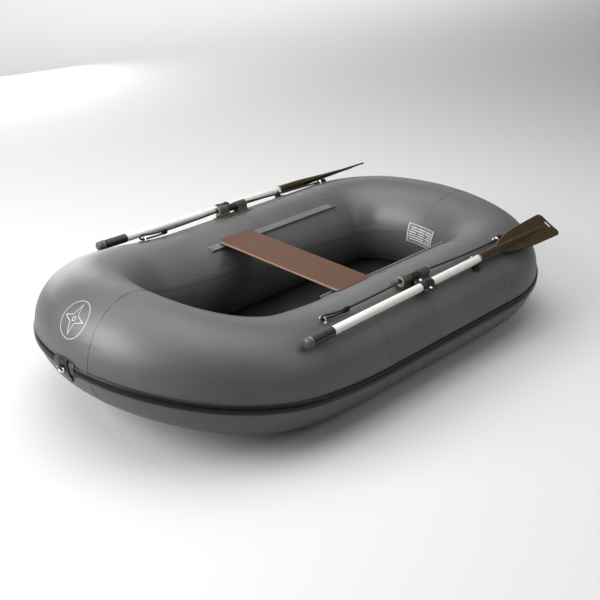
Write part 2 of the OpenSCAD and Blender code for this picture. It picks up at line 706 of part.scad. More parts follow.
// Pad eye: glued round pad with a steel bow across the boat
module pad_eye(side, x) {
    color("#16171a") port_or_stbd(side) on_side(x, eye_a) translate([0, 0, gap]) {
        saddle(eye_pad_t) circle(r = eye_pad_r);
        translate([0, 0, eye_pad_t]) rotate([90, 0, 90]) rotate_extrude(angle = 180)
            translate([eye_bow_r + eye_rod_r, 0]) circle(r = eye_rod_r);
    }
}

// Valve seat welded into the side tube's inner wall
module valve_body(x) {
    color("#9a9c9e") on_side(x, -valve_a) difference() {
        union() {
            translate([0, 0, 0.6]) cylinder(r = valve_flange_r, h = 3.4);
            translate([0, 0, -18]) cylinder(r = valve_neck_r, h = 20);
        }
        translate([0, 0, -19]) cylinder(r = valve_bore_r, h = 40);
    }
}

// Quarter-turn cap with a grip bar and a plug that seals the valve
module valve_cap(x) {
    color("#3b3d40") on_side(x, -valve_a) {
        translate([0, 0, 4.3]) cylinder(r = valve_cap_r, h = 7);
        translate([0, 0, -6]) cylinder(r = valve_bore_r - gap, h = 11);
        translate([-valve_cap_r * 0.8, -3, 11]) cube([valve_cap_r * 1.6, 6, 5]);
    }
}

bow_panel();
bow_quarter("port");  // bow_quarter_port
bow_quarter("stbd");  // bow_quarter_stbd
bow_corner("port");  // bow_corner_port
bow_corner("stbd");  // bow_corner_stbd
fore_tube("port");  // fore_tube_port
fore_tube("stbd");  // fore_tube_stbd
aft_tube("port");  // aft_tube_port
aft_tube("stbd");  // aft_tube_stbd
stern_corner("port");  // stern_corner_port
stern_corner("stbd");  // stern_corner_stbd
stern_panel();
bulkhead("port");  // bulkhead_port
bulkhead("stbd");  // bulkhead_stbd
floor_skin();
strake();
strake_joint_patch();
tow_pad();
tow_ring();
label_plate();
seat_board();
seat_runner("port");  // seat_runner_port
seat_runner("stbd");  // seat_runner_stbd
seat_screws();
seat_rail("port");  // seat_rail_port
seat_rail("stbd");  // seat_rail_stbd
rowlock_base("port");  // rowlock_base_port
rowlock_base("stbd");  // rowlock_base_stbd
rowlock_axle("port");  // rowlock_axle_port
rowlock_axle("stbd");  // rowlock_axle_stbd
rowlock_hub("port");  // rowlock_hub_port
rowlock_hub("stbd");  // rowlock_hub_stbd
collar_cap("port");  // collar_cap_port
collar_cap("stbd");  // collar_cap_stbd
collar_bolts("port");  // collar_bolts_port
collar_bolts("stbd");  // collar_bolts_stbd
oar_shaft("port");  // oar_shaft_port
oar_shaft("stbd");  // oar_shaft_stbd
oar_grip("port");  // oar_grip_port
oar_grip("stbd");  // oar_grip_stbd
oar_end_cap("port");  // oar_end_cap_port
oar_end_cap("stbd");  // oar_end_cap_stbd
oar_blade("port");  // oar_blade_port
oar_blade("stbd");  // oar_blade_stbd
oar_cradle("port");  // oar_cradle_port
oar_cradle("stbd");  // oar_cradle_stbd
grab_line("port");  // grab_line_port
grab_line("stbd");  // grab_line_stbd
pad_eye("port", eye_fore_x);  // eye_fore_port
pad_eye("stbd", eye_fore_x);  // eye_fore_stbd
pad_eye("port", eye_aft_x);  // eye_aft_port
pad_eye("stbd", eye_aft_x);  // eye_aft_stbd
valve_body(valve_fore_x);  // valve_body_fore
valve_body(valve_aft_x);  // valve_body_aft
valve_cap(valve_fore_x);  // valve_cap_fore
valve_cap(valve_aft_x);  // valve_cap_aft
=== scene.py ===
"""Inflatable rowing dinghy: the looks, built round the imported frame.

Lengths are in metres. +X is forward, +Y is to port and +Z is up. Angles round the tube are counted
outboard from its crown. Every piece is worked out for the port side and mirrored for starboard.
"""
import sys
import logging
import math
from dataclasses import dataclass, replace
from enum import Enum

import bpy
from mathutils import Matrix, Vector
import numpy as np


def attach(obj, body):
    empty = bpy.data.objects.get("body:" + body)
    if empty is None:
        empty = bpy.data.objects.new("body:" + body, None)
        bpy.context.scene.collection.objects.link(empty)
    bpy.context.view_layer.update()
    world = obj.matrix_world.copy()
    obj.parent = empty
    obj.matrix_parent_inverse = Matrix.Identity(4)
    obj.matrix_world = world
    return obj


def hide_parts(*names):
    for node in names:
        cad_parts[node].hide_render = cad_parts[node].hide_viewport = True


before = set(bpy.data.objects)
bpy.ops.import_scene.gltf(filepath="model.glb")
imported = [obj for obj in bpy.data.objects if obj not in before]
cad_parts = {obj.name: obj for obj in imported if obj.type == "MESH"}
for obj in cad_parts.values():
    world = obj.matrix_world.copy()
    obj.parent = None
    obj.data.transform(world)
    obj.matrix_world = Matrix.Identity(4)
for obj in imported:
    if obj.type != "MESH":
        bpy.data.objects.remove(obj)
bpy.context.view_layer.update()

Array = np.ndarray
Colour = tuple[float, float, float]
log = logging.getLogger("dinghy")


class Side(Enum):
    """The two sides of the boat, by the ending of their nodes' names."""

    PORT = "port"
    STARBOARD = "stbd"

    @property
    def oar_body(self) -> str:
        """Name of the body that this side's oar moves with."""
        return "port_oar" if self is Side.PORT else "starboard_oar"


# ---------------------------------------------------------------- shells


@dataclass(frozen=True)
class Shell:
    """A closed surface: points, four-sided and three-sided faces, and a flat place for each corner."""

    points: Array
    quads: Array
    tris: Array
    quad_uv: Array
    tri_uv: Array
    marks: Array

    def facing_out(self) -> "Shell":
        """The same shell with its faces outwards: the volume under them, summed, has to be positive."""
        q, t = self.quads, self.tris
        fans = np.concatenate([q[:, [0, 1, 2]], q[:, [0, 2, 3]], t])
        a, b, c = (self.points[fans[:, k]] for k in range(3))
        volume = np.einsum("ij,ij->", a, np.cross(b, c))
        return self if volume > 0 else self.reversed()

    def reversed(self) -> "Shell":
        """The shell with each face's corners in the opposite order."""
        keys = ("quads", "tris", "quad_uv", "tri_uv")
        return replace(self, **{key: getattr(self, key)[:, ::-1] for key in keys})

    def mirrored(self) -> "Shell":
        """The shell for the other side: y changes sign and the faces turn over."""
        return replace(self, points=self.points * (1, -1, 1)).reversed()

    def on(self, side: Side) -> "Shell":
        """The shell as it stands on that side."""
        return self if side is Side.PORT else self.mirrored()


def join(*shells: Shell) -> Shell:
    """Several shells as one: each one's corner numbers go up by the points before it.

    Args:
        shells: the shells, in order.
    Returns:
        One shell with all their points and faces.
    """
    starts = np.cumsum([0] + [len(s.points) for s in shells[:-1]])
    faces = {key: np.concatenate([getattr(s, key) + k for s, k in zip(shells, starts)])
             for key in ("quads", "tris")}
    rest = {key: np.concatenate([getattr(s, key) for s in shells])
            for key in ("points", "quad_uv", "tri_uv", "marks")}
    return Shell(**faces, **rest)


def grid(points: Array, wrap_u: bool = False, poles: tuple[Array, Array] | None = None,
         cell: tuple[float, float] = (1.0, 1.0), marks: Array | None = None) -> Shell:
    """Closed shell on rows of points. Each row is a ring; rows follow each other in u.

    Corner (i, j) lies flat at (i, j) times the cell. Rows close on themselves when wrap_u is true;
    otherwise a fan to each pole closes the first and the last ring.

    Args:
        points: rows x ring x 3.
        wrap_u: true where the last row meets the first.
        poles: the points that close the two ends.
        cell: flat size of one step along u and one round the ring.
        marks: one number for each point, such as its distance from a seam.
    Returns:
        The shell, faces outwards.
    """
    n, m = points.shape[:2]
    i, j = np.meshgrid(np.arange(n if wrap_u else n - 1), np.arange(m), indexing="ij")
    i1, j1 = (i + 1) % n, (j + 1) % m
    quads = np.stack([i * m + j, i1 * m + j, i1 * m + j1, i * m + j1], -1).reshape(-1, 4)
    flat = np.stack([np.stack([i, j], -1), np.stack([i + 1, j], -1), np.stack([i + 1, j + 1], -1),
                     np.stack([i, j + 1], -1)], -2).reshape(-1, 4, 2) * cell
    cloud = points.reshape(-1, 3)
    mark = np.zeros(len(cloud)) if marks is None else np.broadcast_to(marks, (n, m)).reshape(-1)
    tris, tri_flat = np.zeros((0, 3), int), np.zeros((0, 3, 2))
    if poles is not None:
        cloud = np.concatenate([cloud, np.stack(poles)])
        mark = np.concatenate([mark, mark[[0, -1]]])
        k = np.arange(m)
        k1 = (k + 1) % m
        last = (n - 1) * m
        tris = np.concatenate([np.stack([np.full(m, n * m), k, k1], -1),
                               np.stack([np.full(m, n * m + 1), last + k1, last + k], -1)])
        ends = np.array([[[-1, 0.5], [0, 0], [0, 1]], [[n, 0.5], [n - 1, 1], [n - 1, 0]]])
        tri_flat = (np.repeat(ends, m, 0) + np.tile(k, 2)[:, None, None] * (0, 1)) * cell
    return Shell(cloud, quads, tris, flat, tri_flat, mark).facing_out()


def ease(t: Array) -> Array:
    """Smooth step: 3t squared less 2t cubed, with t held between 0 and 1."""
    t = np.clip(t, 0, 1)
    return t * t * (3 - 2 * t)


def unit(v: Array) -> Array:
    """Vectors brought to length 1, along the last axis."""
    return v / np.linalg.norm(v, axis=-1, keepdims=True)


def heading(path: Array, closed: bool = False) -> Array:
    """Unit vectors along a path, from the points on either side of each."""
    return unit(np.roll(path, -1, 0) - np.roll(path, 1, 0) if closed else np.gradient(path, axis=0))


def run_along(line: Array) -> Array:
    """Length from a line's start to each of its points."""
    return np.concatenate([[0], np.cumsum(np.linalg.norm(np.diff(line, axis=0), axis=1))])


def circle(corners: int) -> Array:
    """Even angles round one turn, in radians."""
    return np.arange(corners) * 2 * math.pi / corners


def on_circle(turn: Array) -> Array:
    """Points of the unit circle at those angles, rows x 2."""
    return np.column_stack([np.cos(turn), np.sin(turn)])


def squared(wave: Array, power: float) -> Array:
    """A wave raised to a power with its sign kept: under 1, it makes a circle a rounded square."""
    return np.sign(wave) * np.abs(wave) ** power


def rings_on(path: Array, side: Array, up: Array, across: Array, height: Array) -> Array:
    """Rings along a path: each point plus across times its side plus height times its up.

    Args:
        path: rows x 3.
        side: one vector, or one for each row.
        up: as the side.
        across: one number for each corner, or for each row and corner.
        height: as across.
    Returns:
        Rows x corners x 3.
    """
    side, up = (np.broadcast_to(v, path.shape)[:, None] for v in (side, up))
    return path[:, None] + across[..., None] * side + height[..., None] * up


def band(path: Array, side: Array, width: float, thick: float, corners: int,
         powers: tuple[float, float]) -> Array:
    """Rings of a flat band with rounded edges along a path that lies square to the side vector."""
    turn, side = circle(corners), np.asarray(side, float)
    return rings_on(path, side, np.cross(heading(path), side), squared(np.cos(turn), powers[0]) * width / 2,
                    squared(np.sin(turn), powers[1]) * thick / 2)


def capped(rings: Array, cell: tuple[float, float] = (1.0, 1.0)) -> Shell:
    """Shell on rings whose first and last ones close on their own middles."""
    return grid(rings, poles=(rings[0].mean(0), rings[-1].mean(0)), cell=cell)


def folded(top: Array, low: Array) -> Array:
    """Rings of a sheet: each row of its top, then the same row of its underside backwards."""
    return np.concatenate([top, low[:, ::-1]], 1)


# ---------------------------------------------------------------- places


@dataclass(frozen=True)
class Place:
    """A place to build at: its origin and its three axes as rows."""

    origin: Array
    axes: Array

    def at(self, local: Array) -> Array:
        """Points in the boat's frame: the origin plus each coordinate times its axis."""
        return self.origin + np.asarray(local, float) @ self.axes

    def moved(self, x: float, y: float, z: float) -> "Place":
        """The place shifted along its own axes."""
        return Place(self.at((x, y, z)), self.axes)

    def turned(self, axis: int, degrees: float) -> "Place":
        """The place turned about its own axis 0, 1 or 2 by the right-hand rule."""
        c, s = math.cos(math.radians(degrees)), math.sin(math.radians(degrees))
        b, d = (axis + 1) % 3, (axis + 2) % 3
        turn = np.eye(3)
        turn[b, b], turn[b, d], turn[d, b], turn[d, d] = c, s, -s, c
        return Place(self.origin, turn @ self.axes)


def upright(x: float, y: float, z: float) -> Place:
    """A place at that point with the boat's own axes."""
    return Place(np.array([x, y, z]), np.eye(3))


def lathe(place: Place, profile: list[tuple[float, float]] | Array, around: int = 40,
          closed: bool = False, waves: Array | float = 0.0) -> Shell:
    """A turned shape: each (along, radius) of the profile is carried round the place's X axis.

    Args:
        place: where it stands; its X axis is the axis of the turning.
        profile: pairs of length along X and radius. An open profile starts and ends on the axis.
        around: corners round the axis.
        closed: true for a hollow ring, whose profile comes back to its start.
        waves: added to the radius, as a number or one for each corner or row and corner.
    Returns:
        The shell.
    """
    line = np.asarray(profile, float)
    turn = circle(around)
    rows = line if closed else line[1:-1]
    radius = rows[:, 1, None] + waves + 0 * turn
    ring = np.stack([rows[:, 0, None] + 0 * turn, radius * np.cos(turn), radius * np.sin(turn)], -1)
    ends = None if closed else (place.at((line[0, 0], 0, 0)), place.at((line[-1, 0], 0, 0)))
    return grid(place.at(ring), wrap_u=closed, poles=ends, cell=(0.002, 1 / around))


def fillet(x0: float, x1: float, r: float, edge: float, steps: int = 5) -> list[tuple[float, float]]:
    """Profile of a solid rod from x0 to x1: its rim is a quarter circle of radius edge at each end."""
    turn = np.linspace(0, math.pi / 2, steps)
    up = [(x0 + edge - edge * math.cos(a), r - edge + edge * math.sin(a)) for a in turn]
    down = [(x1 - edge + edge * math.sin(a), r - edge + edge * math.cos(a)) for a in turn]
    return [(x0, 0), *up, *down, (x1, 0)]


def sleeve(x0: float, x1: float, outer: float, inner: float, edge: float, steps: int = 4) -> Array:
    """Closed profile of a hollow sleeve, with its outer rims rounded by a quarter circle."""
    solid = np.array(fillet(x0, x1, outer, edge, steps))[1:-1]
    return np.concatenate([solid, [(x1, inner), (x0, inner)]])


def rounded_box_line(length: float, width: float, corner: float, steps: int = 8) -> Array:
    """Outline of a rectangle whose corners are quarter circles of one radius."""
    quarter = np.arange(4 * steps) // steps
    turn = (np.arange(4 * steps) % steps) * math.pi / 2 / (steps - 1) + quarter * math.pi / 2
    cx = np.where((quarter == 0) | (quarter == 3), 1, -1) * (length / 2 - corner)
    cy = np.where(quarter < 2, 1, -1) * (width / 2 - corner)
    return np.stack([cx + corner * np.cos(turn), cy + corner * np.sin(turn)], -1)


def slab(line: Array, thick: float, edge: float, rings: int = 5, steps: int = 5,
         crown: float = 0.0) -> Array:
    """Rings of a plate on an outline, from the middle of its underside to the middle of its top.

    The outline moves in along its own normal by edge times (1 - cos a) as a quarter circle turns
    from the side to the face, and the faces are the outline scaled towards its middle. The top may
    be crowned by the given height times (1 - s squared), where s is the scale.

    Args:
        line: the outline, ring x 2.
        thick: thickness; the plate stands on z = 0.
        edge: radius of the rounded edges, at most half the thickness.
        rings: rings on each face.
        steps: rings round each edge.
        crown: extra height in the middle of the top.
    Returns:
        Rings x corners x 3, in the plate's own frame.
    """
    along = heading(line, closed=True)
    inward = np.stack([-along[:, 1], along[:, 0]], -1)
    if np.sum(inward * (line.mean(0) - line)) < 0:
        inward = -inward
    middle = line.mean(0)
    turn = np.linspace(0, math.pi / 2, steps)
    face = np.linspace(0.12, 1, rings)[:-1]
    side = [(edge * (1 - math.sin(a)), edge * (1 - math.cos(a))) for a in turn]
    core, floor, roof = line + inward * edge, np.zeros(len(line)), np.full(len(line), thick)
    rows = [np.column_stack([middle + (core - middle) * scale, floor]) for scale in face]
    rows += [np.column_stack([line + inward * inset, floor + z]) for inset, z in side]
    rows += [np.column_stack([line + inward * inset, roof - z]) for inset, z in side[::-1]]
    rows += [np.column_stack([middle + (core - middle) * scale, roof + crown * (1 - scale ** 2)])
             for scale in face[::-1]]
    return np.stack(rows)


def block(place: Place, length: float, width: float, height: float, edge: float) -> Shell:
    """Rounded block, centred on the place in X and Y and standing on it: a slab on a rounded rectangle."""
    rings = slab(rounded_box_line(length, width, max(edge * 1.5, 0.0006)), height, edge, 3, 4)
    ends = (place.at((0, 0, 0)), place.at((0, 0, height)))
    return grid(place.at(rings), poles=ends)


def rod(points: Array, radius: Array | float, around: int = 16, across: Colour = (0, 1, 0),
        waves: Array | float = 0.0, caps: float = 1.0) -> Shell:
    """Round rod along a path: each ring stands square to the path's direction.

    Args:
        points: the path, rows x 3; it never runs along the across direction.
        radius: one number, or one for each row.
        around: corners of a ring.
        across: the direction from which the rings are counted.
        waves: share of the radius added at each row and corner.
        caps: height of the end poles, in radii.
    Returns:
        The shell.
    """
    along, across = heading(points), np.asarray(across, float)
    side = unit(across - (along @ across)[:, None] * along)
    turn = circle(around)
    size = np.broadcast_to(radius, (len(points),))[:, None] * (1 + waves)
    ring = rings_on(points, side, np.cross(along, side), size * np.cos(turn), size * np.sin(turn))
    ends = np.broadcast_to(radius, (len(points),))[[0, -1]] * caps * 0.5
    spacing = float(np.linalg.norm(points[1] - points[0]))
    return grid(ring, poles=(points[0] - along[0] * ends[0], points[-1] + along[-1] * ends[1]),
                cell=(spacing, 1 / around))


def spline(points: Array, spacing: float) -> Array:
    """Smooth path through points: Catmull-Rom arcs, then evenly spaced by length.

    Args:
        points: the points it passes through.
        spacing: distance between the rows of the result.
    Returns:
        Rows x 3.
    """
    p = np.concatenate([[2 * points[0] - points[1]], points, [2 * points[-1] - points[-2]]])
    t = np.linspace(0, 1, 24, endpoint=False)[None, :, None]
    a, b, c, d = (p[k:len(p) - 3 + k, None] for k in range(4))
    arcs = 0.5 * (2 * b + (c - a) * t + (2 * a - 5 * b + 4 * c - d) * t ** 2
                  + (3 * b - a - 3 * c + d) * t ** 3)
    line = np.concatenate([arcs.reshape(-1, 3), points[-1:]])
    run = run_along(line)
    at = np.linspace(0, run[-1], int(run[-1] / spacing) + 1)
    return np.stack([np.interp(at, run, line[:, k]) for k in range(3)], -1)


# ---------------------------------------------------------------- the hull's form


@dataclass(frozen=True)
class HullForm:
    """The ring of tube: its centreline from above, its sheer and its radius."""

    tube_r: float = 0.2
    side_y: float = 0.435
    bow_a: float = 0.896
    stern_a: float = 0.912
    bow_corner_r: float = 0.408
    bow_corner_deg: float = 51
    stern_corner_r: float = 0.297
    stern_corner_deg: float = 21
    bow_rise: float = 0.135
    stern_rise: float = 0.021
    bow_sheer_run: float = 0.290
    stern_sheer_run: float = 0.068

    def end_r(self, r: float, deg: float) -> float:
        """Radius of the blunt end's arc, which meets the corner's arc without a kink."""
        return r + (self.side_y - r) / math.sin(math.radians(deg))

    def straight(self, r: float, deg: float, reach: float) -> float:
        """Length of straight side ahead of the middle, where the corner's arc begins."""
        end = self.end_r(r, deg)
        return reach - end + (end - r) * math.cos(math.radians(deg))

    @property
    def bow_straight(self) -> float:
        """Where the bow corner begins."""
        return self.straight(self.bow_corner_r, self.bow_corner_deg, self.bow_a)

    @property
    def stern_straight(self) -> float:
        """Where the stern corner begins, counted aft."""
        return self.straight(self.stern_corner_r, self.stern_corner_deg, self.stern_a)

    @property
    def bow_level(self) -> float:
        """Where the side begins to rise towards the bow."""
        return self.bow_straight - self.bow_sheer_run

    @property
    def stern_level(self) -> float:
        """Where the side begins to rise towards the stern, counted aft."""
        return self.stern_straight - self.stern_sheer_run

    def sheer(self, x: Array) -> Array:
        """Height above level: the rise times the square of the share of the way to the end."""
        fore = np.clip((x - self.bow_level) / (self.bow_a - self.bow_level), 0, None)
        aft = np.clip((-x - self.stern_level) / (self.stern_a - self.stern_level), 0, None)
        return self.bow_rise * fore ** 2 + self.stern_rise * aft ** 2

    def _end(self, deg: Array, r: float, corner: float, straight: float, reach: float) -> tuple[Array, Array]:
        """Centreline of an end by outward angle: a corner arc, then the blunt end's wider arc."""
        a = np.radians(np.abs(deg))
        end = self.end_r(r, corner)
        tight = np.abs(deg) > corner
        x = np.where(tight, straight + r * np.cos(a), reach - end + end * np.cos(a))
        y = np.where(tight, self.side_y - r + r * np.sin(a), end * np.sin(a))
        return x, np.sign(deg) * y

    def bow(self, deg: Array) -> Array:
        """Stations (x, y, heading) round the bow, by the angle from straight ahead."""
        deg = np.atleast_1d(np.asarray(deg, float))
        x, y = self._end(deg, self.bow_corner_r, self.bow_corner_deg, self.bow_straight, self.bow_a)
        return np.stack([x, y, np.radians(deg)], -1)

    def stern(self, deg: Array) -> Array:
        """Stations round the stern, by the angle from straight astern, port first."""
        deg = np.atleast_1d(np.asarray(deg, float))
        x, y = self._end(deg, self.stern_corner_r, self.stern_corner_deg, self.stern_straight, self.stern_a)
        return np.stack([-x, y, math.pi - np.radians(deg)], -1)

    def side(self, x: Array) -> Array:
        """Stations along the straight port side."""
        x = np.atleast_1d(np.asarray(x, float))
        return np.stack([x, np.full_like(x, self.side_y), np.full_like(x, math.pi / 2)], -1)

    def port_line(self, step: float = 0.012) -> Array:
        """Stations from the middle of the bow down the port side to the middle of the stern."""
        n_bow = int(self.end_r(self.bow_corner_r, self.bow_corner_deg) * math.pi / 2 / step)
        n_stern = int(self.end_r(self.stern_corner_r, self.stern_corner_deg) * math.pi / 2 / step)
        n_side = int((self.bow_straight + self.stern_straight) / step)
        return np.concatenate([self.bow(np.linspace(0, 90, n_bow)),
                               self.side(np.linspace(self.bow_straight, -self.stern_straight, n_side))[1:-1],
                               self.stern(np.linspace(90, 0, n_stern))])

    def loop(self, step: float = 0.012) -> Array:
        """Stations all the way round, without the first one again at the end."""
        half = self.port_line(step)
        other = half[-2:0:-1] * (1, -1, -1)
        return np.concatenate([half, other])

    def on_tube(self, stations: Array, deg: Array, rho: Array | float) -> Array:
        """Points round the tube: out by rho times sin, up by rho times cos of the angle from the crown.

        Args:
            stations: rows x 3.
            deg: angles outboard from the crown, one row or one for each station.
            rho: distance from the tube's middle, one number or as the angles.
        Returns:
            Rows x angles x 3.
        """
        x, y, heading = (stations[:, k, None] for k in range(3))
        turn = np.radians(np.atleast_2d(deg))
        out, up = np.asarray(rho) * np.sin(turn), np.asarray(rho) * np.cos(turn)
        return np.stack(np.broadcast_arrays(x + out * np.cos(heading), y + out * np.sin(heading),
                                            self.tube_r + self.sheer(x) + up), -1)

    def on_bow(self, heading_deg: Array, deg: Array, rho: Array) -> Array:
        """Points on the bow, each by its own heading, angle from the crown and distance."""
        return self.on_tube(self.bow(heading_deg.ravel()), deg.reshape(-1, 1),
                            rho.reshape(-1, 1))[:, 0].reshape(*deg.shape, 3)

    def bow_arc(self, deg: float = 90) -> float:
        """Radius of the bow's outline from above, at an angle from the tube's crown."""
        return self.end_r(self.bow_corner_r, self.bow_corner_deg) + self.tube_r * math.sin(math.radians(deg))

    def tape(self, stations: Array, deg: Array, lift: Array, under: float, cell: tuple[float, float]) -> Shell:
        """Tape all round the ring: its section's angles and heights, and its underside's height."""
        out = self.on_tube(stations, deg, self.tube_r + lift)
        back = self.on_tube(stations, deg[..., ::-1], self.tube_r + under)
        return grid(np.concatenate([out, back], 1), wrap_u=True, cell=cell)

    def port_station(self, x: float) -> Array:
        """The port station at a place along the boat."""
        if x > self.bow_straight:
            return self.bow(math.degrees(math.acos((x - self.bow_straight) / self.bow_corner_r)))
        if x < -self.stern_straight:
            return self.stern(math.degrees(math.acos((-x - self.stern_straight) / self.stern_corner_r)))
        return self.side(x)

    def surface(self, x: float, deg: float) -> Place:
        """Place on the port tube: Z out of it, X forward along the sheer, Y away from the crown."""
        st = self.port_station(x)
        slope = math.degrees(math.atan((float(self.sheer(x + 0.001)) - float(self.sheer(x - 0.001))) / 0.002))
        base = upright(*self.on_tube(st, deg, self.tube_r)[0, 0]).turned(2, math.degrees(float(st[0, 2])) - 90)
        return base.turned(1, -slope).turned(0, -deg)

    def wrapped(self, local: Array, lift: float) -> Array:
        """Points of a flat piece bent down over the tube: y becomes an arc of the tube's own radius.

        Args:
            local: flat points in a surface place's frame.
            lift: clearance under the piece.
        Returns:
            Points in the same frame, with y and z on the tube's curve.
        """
        turn = local[..., 1] / (self.tube_r + lift)
        rho = self.tube_r + lift + local[..., 2]
        return np.stack([local[..., 0], rho * np.sin(turn), rho * np.cos(turn) - self.tube_r], -1)


FORM = HullForm()
LAY = 0.0004  # what lies on the tube stands this much clear of it
FAR = 9  # a seam mark too far off to shade


# ---------------------------------------------------------------- finishes


class Graph:
    """Adds nodes to a tree and links them by the names of their sockets."""

    def __init__(self, tree: bpy.types.NodeTree) -> None:
        """Starts on that tree."""
        self.tree = tree

    def feed(self, node: bpy.types.Node, feeds: dict) -> bpy.types.Node:
        """Links each named input to a socket, or sets it to a value."""
        for key, value in feeds.items():
            if isinstance(value, bpy.types.NodeSocket):
                self.tree.links.new(value, node.inputs[key])
            else:
                node.inputs[key].default_value = value
        return node

    def add(self, kind: str, feeds: dict | None = None, **settings: object) -> bpy.types.Node:
        """A node with its settings and its inputs fed."""
        node = self.tree.nodes.new(kind)
        for key, value in settings.items():
            setattr(node, key, value)
        return self.feed(node, feeds or {})

    def use(self, tree: bpy.types.NodeTree, **feeds: object) -> bpy.types.Node:
        """A shared effect with its own values."""
        return self.add("ShaderNodeGroup", feeds, node_tree=tree)

    def handling(self, where: object, scale: float, amount: float) -> bpy.types.NodeSocket:
        """The mask of handling marks."""
        return self.use(EFFECTS.handling, Vector=where, Scale=scale, Amount=amount).outputs["Mask"]

    def mark(self) -> bpy.types.NodeSocket:
        """The shell's own mark at each point."""
        return self.add("ShaderNodeAttribute", attribute_name="seam", attribute_type="GEOMETRY").outputs["Fac"]

    def flat(self) -> bpy.types.NodeSocket:
        """The shell's flat place."""
        return self.add("ShaderNodeUVMap", uv_map="flat").outputs[0]

    def drawn(self, where: object, scale: Colour) -> bpy.types.NodeSocket:
        """Object places scaled along each axis, which draws noise out."""
        return self.add("ShaderNodeMapping", {"Vector": where, "Scale": scale}).outputs[0]

    def bump(self, shader: bpy.types.Node, height: object, strength: float, distance: float) -> None:
        """Carries a height to the shader's normal."""
        node = self.add("ShaderNodeBump", {"Height": height, "Strength": strength, "Distance": distance})
        self.feed(shader, {"Normal": node.outputs[0]})

    def maths(self, operation: str, a: object, b: object = 0.0) -> bpy.types.NodeSocket:
        """One sum of two numbers or sockets."""
        return self.add("ShaderNodeMath", {0: a, 1: b}, operation=operation).outputs[0]

    def blend(self, factor: object, a: object, b: object) -> bpy.types.NodeSocket:
        """A colour between a and b by the factor."""
        tone = [(*v, 1) if isinstance(v, tuple) and len(v) == 3 else v for v in (a, b)]
        return self.add("ShaderNodeMix", {0: factor, 6: tone[0], 7: tone[1]}, data_type="RGBA").outputs[2]

    def span(self, value: object, lo: float, hi: float, out_lo: float, out_hi: float) -> bpy.types.NodeSocket:
        """The value carried from one span of numbers to another, held at the ends."""
        return self.add("ShaderNodeMapRange", {0: value, 1: lo, 2: hi, 3: out_lo, 4: out_hi}).outputs[0]

    def noise(self, vector: object, scale: object, detail: float = 3.0) -> bpy.types.NodeSocket:
        """Cloudy noise at that scale."""
        return self.add("ShaderNodeTexNoise", {"Vector": vector, "Scale": scale, "Detail": detail}).outputs[0]


def shade(colour: Colour, factor: float, lift: float = 0.0) -> Colour:
    """The colour times a factor plus a lift, with no channel over 1."""
    return tuple(min(c * factor + lift, 1) for c in colour)


def group_tree(name: str, inputs: dict[str, float | None], outputs: tuple[str, ...]
               ) -> tuple[Graph, bpy.types.Node, bpy.types.Node]:
    """An empty shader node group with named sockets.

    Args:
        name: the group's name.
        inputs: each input's usual value, or None for a vector.
        outputs: names of the outputs, all numbers.
    Returns:
        Its graph, its input node and its output node.
    """
    tree = bpy.data.node_groups.new(name, "ShaderNodeTree")
    for key, value in inputs.items():
        kind = "NodeSocketVector" if value is None else "NodeSocketFloat"
        socket = tree.interface.new_socket(key, in_out="INPUT", socket_type=kind)
        if value is not None:
            socket.default_value = value
    for key in outputs:
        tree.interface.new_socket(key, in_out="OUTPUT", socket_type="NodeSocketFloat")
    return Graph(tree), tree.nodes.new("NodeGroupInput"), tree.nodes.new("NodeGroupOutput")


class Effects:
    """The effects that several finishes share, each one a node group that is built once."""

    def __init__(self) -> None:
        """Builds the groups."""
        self.grain = self._grain()
        self.handling = self._handling()
        self.weave = self._weave()

    def _grain(self) -> bpy.types.NodeTree:
        """Moulded grain: fine noise plus coarser noise, as a height and as a tone about 1."""
        g, i, o = group_tree("moulded_grain", {"Vector": None, "Scale": 900.0}, ("Height", "Tone"))
        fine = g.noise(i.outputs["Vector"], i.outputs["Scale"], 4.0)
        wide = g.noise(i.outputs["Vector"], 24.0, 3.0)
        g.feed(o, {"Height": g.maths("ADD", fine, g.maths("MULTIPLY", wide, 0.6)),
                   "Tone": g.span(wide, 0.3, 0.7, 0.86, 1.14)})
        return g.tree

    def _handling(self) -> bpy.types.NodeTree:
        """Handling marks and dust: patches of noise cut by finer noise, as a mask from 0 to Amount."""
        g, i, o = group_tree("handling_marks", {"Vector": None, "Scale": 14.0, "Amount": 0.3}, ("Mask",))
        patch = g.noise(i.outputs["Vector"], i.outputs["Scale"], 5.0)
        speck = g.noise(i.outputs["Vector"], 260.0, 2.0)
        both = g.maths("MULTIPLY", g.span(patch, 0.46, 0.72, 0, 1), g.span(speck, 0.38, 0.66, 0.35, 1))
        g.feed(o, {"Mask": g.maths("MULTIPLY", both, i.outputs["Amount"])})
        return g.tree

    def _weave(self) -> bpy.types.NodeTree:
        """Woven threads: the larger of two rows of ridges that cross at right angles."""
        g, i, o = group_tree("woven_threads", {"Vector": None, "Pitch": 0.001}, ("Height",))
        part = g.add("ShaderNodeSeparateXYZ", {0: i.outputs["Vector"]})
        turns = g.maths("DIVIDE", 2 * math.pi, i.outputs["Pitch"])
        ridges = [g.maths("SINE", g.maths("MULTIPLY", part.outputs[k], turns)) for k in (0, 1)]
        g.feed(o, {"Height": g.maths("MAXIMUM", *ridges)})
        return g.tree


EFFECTS = Effects()


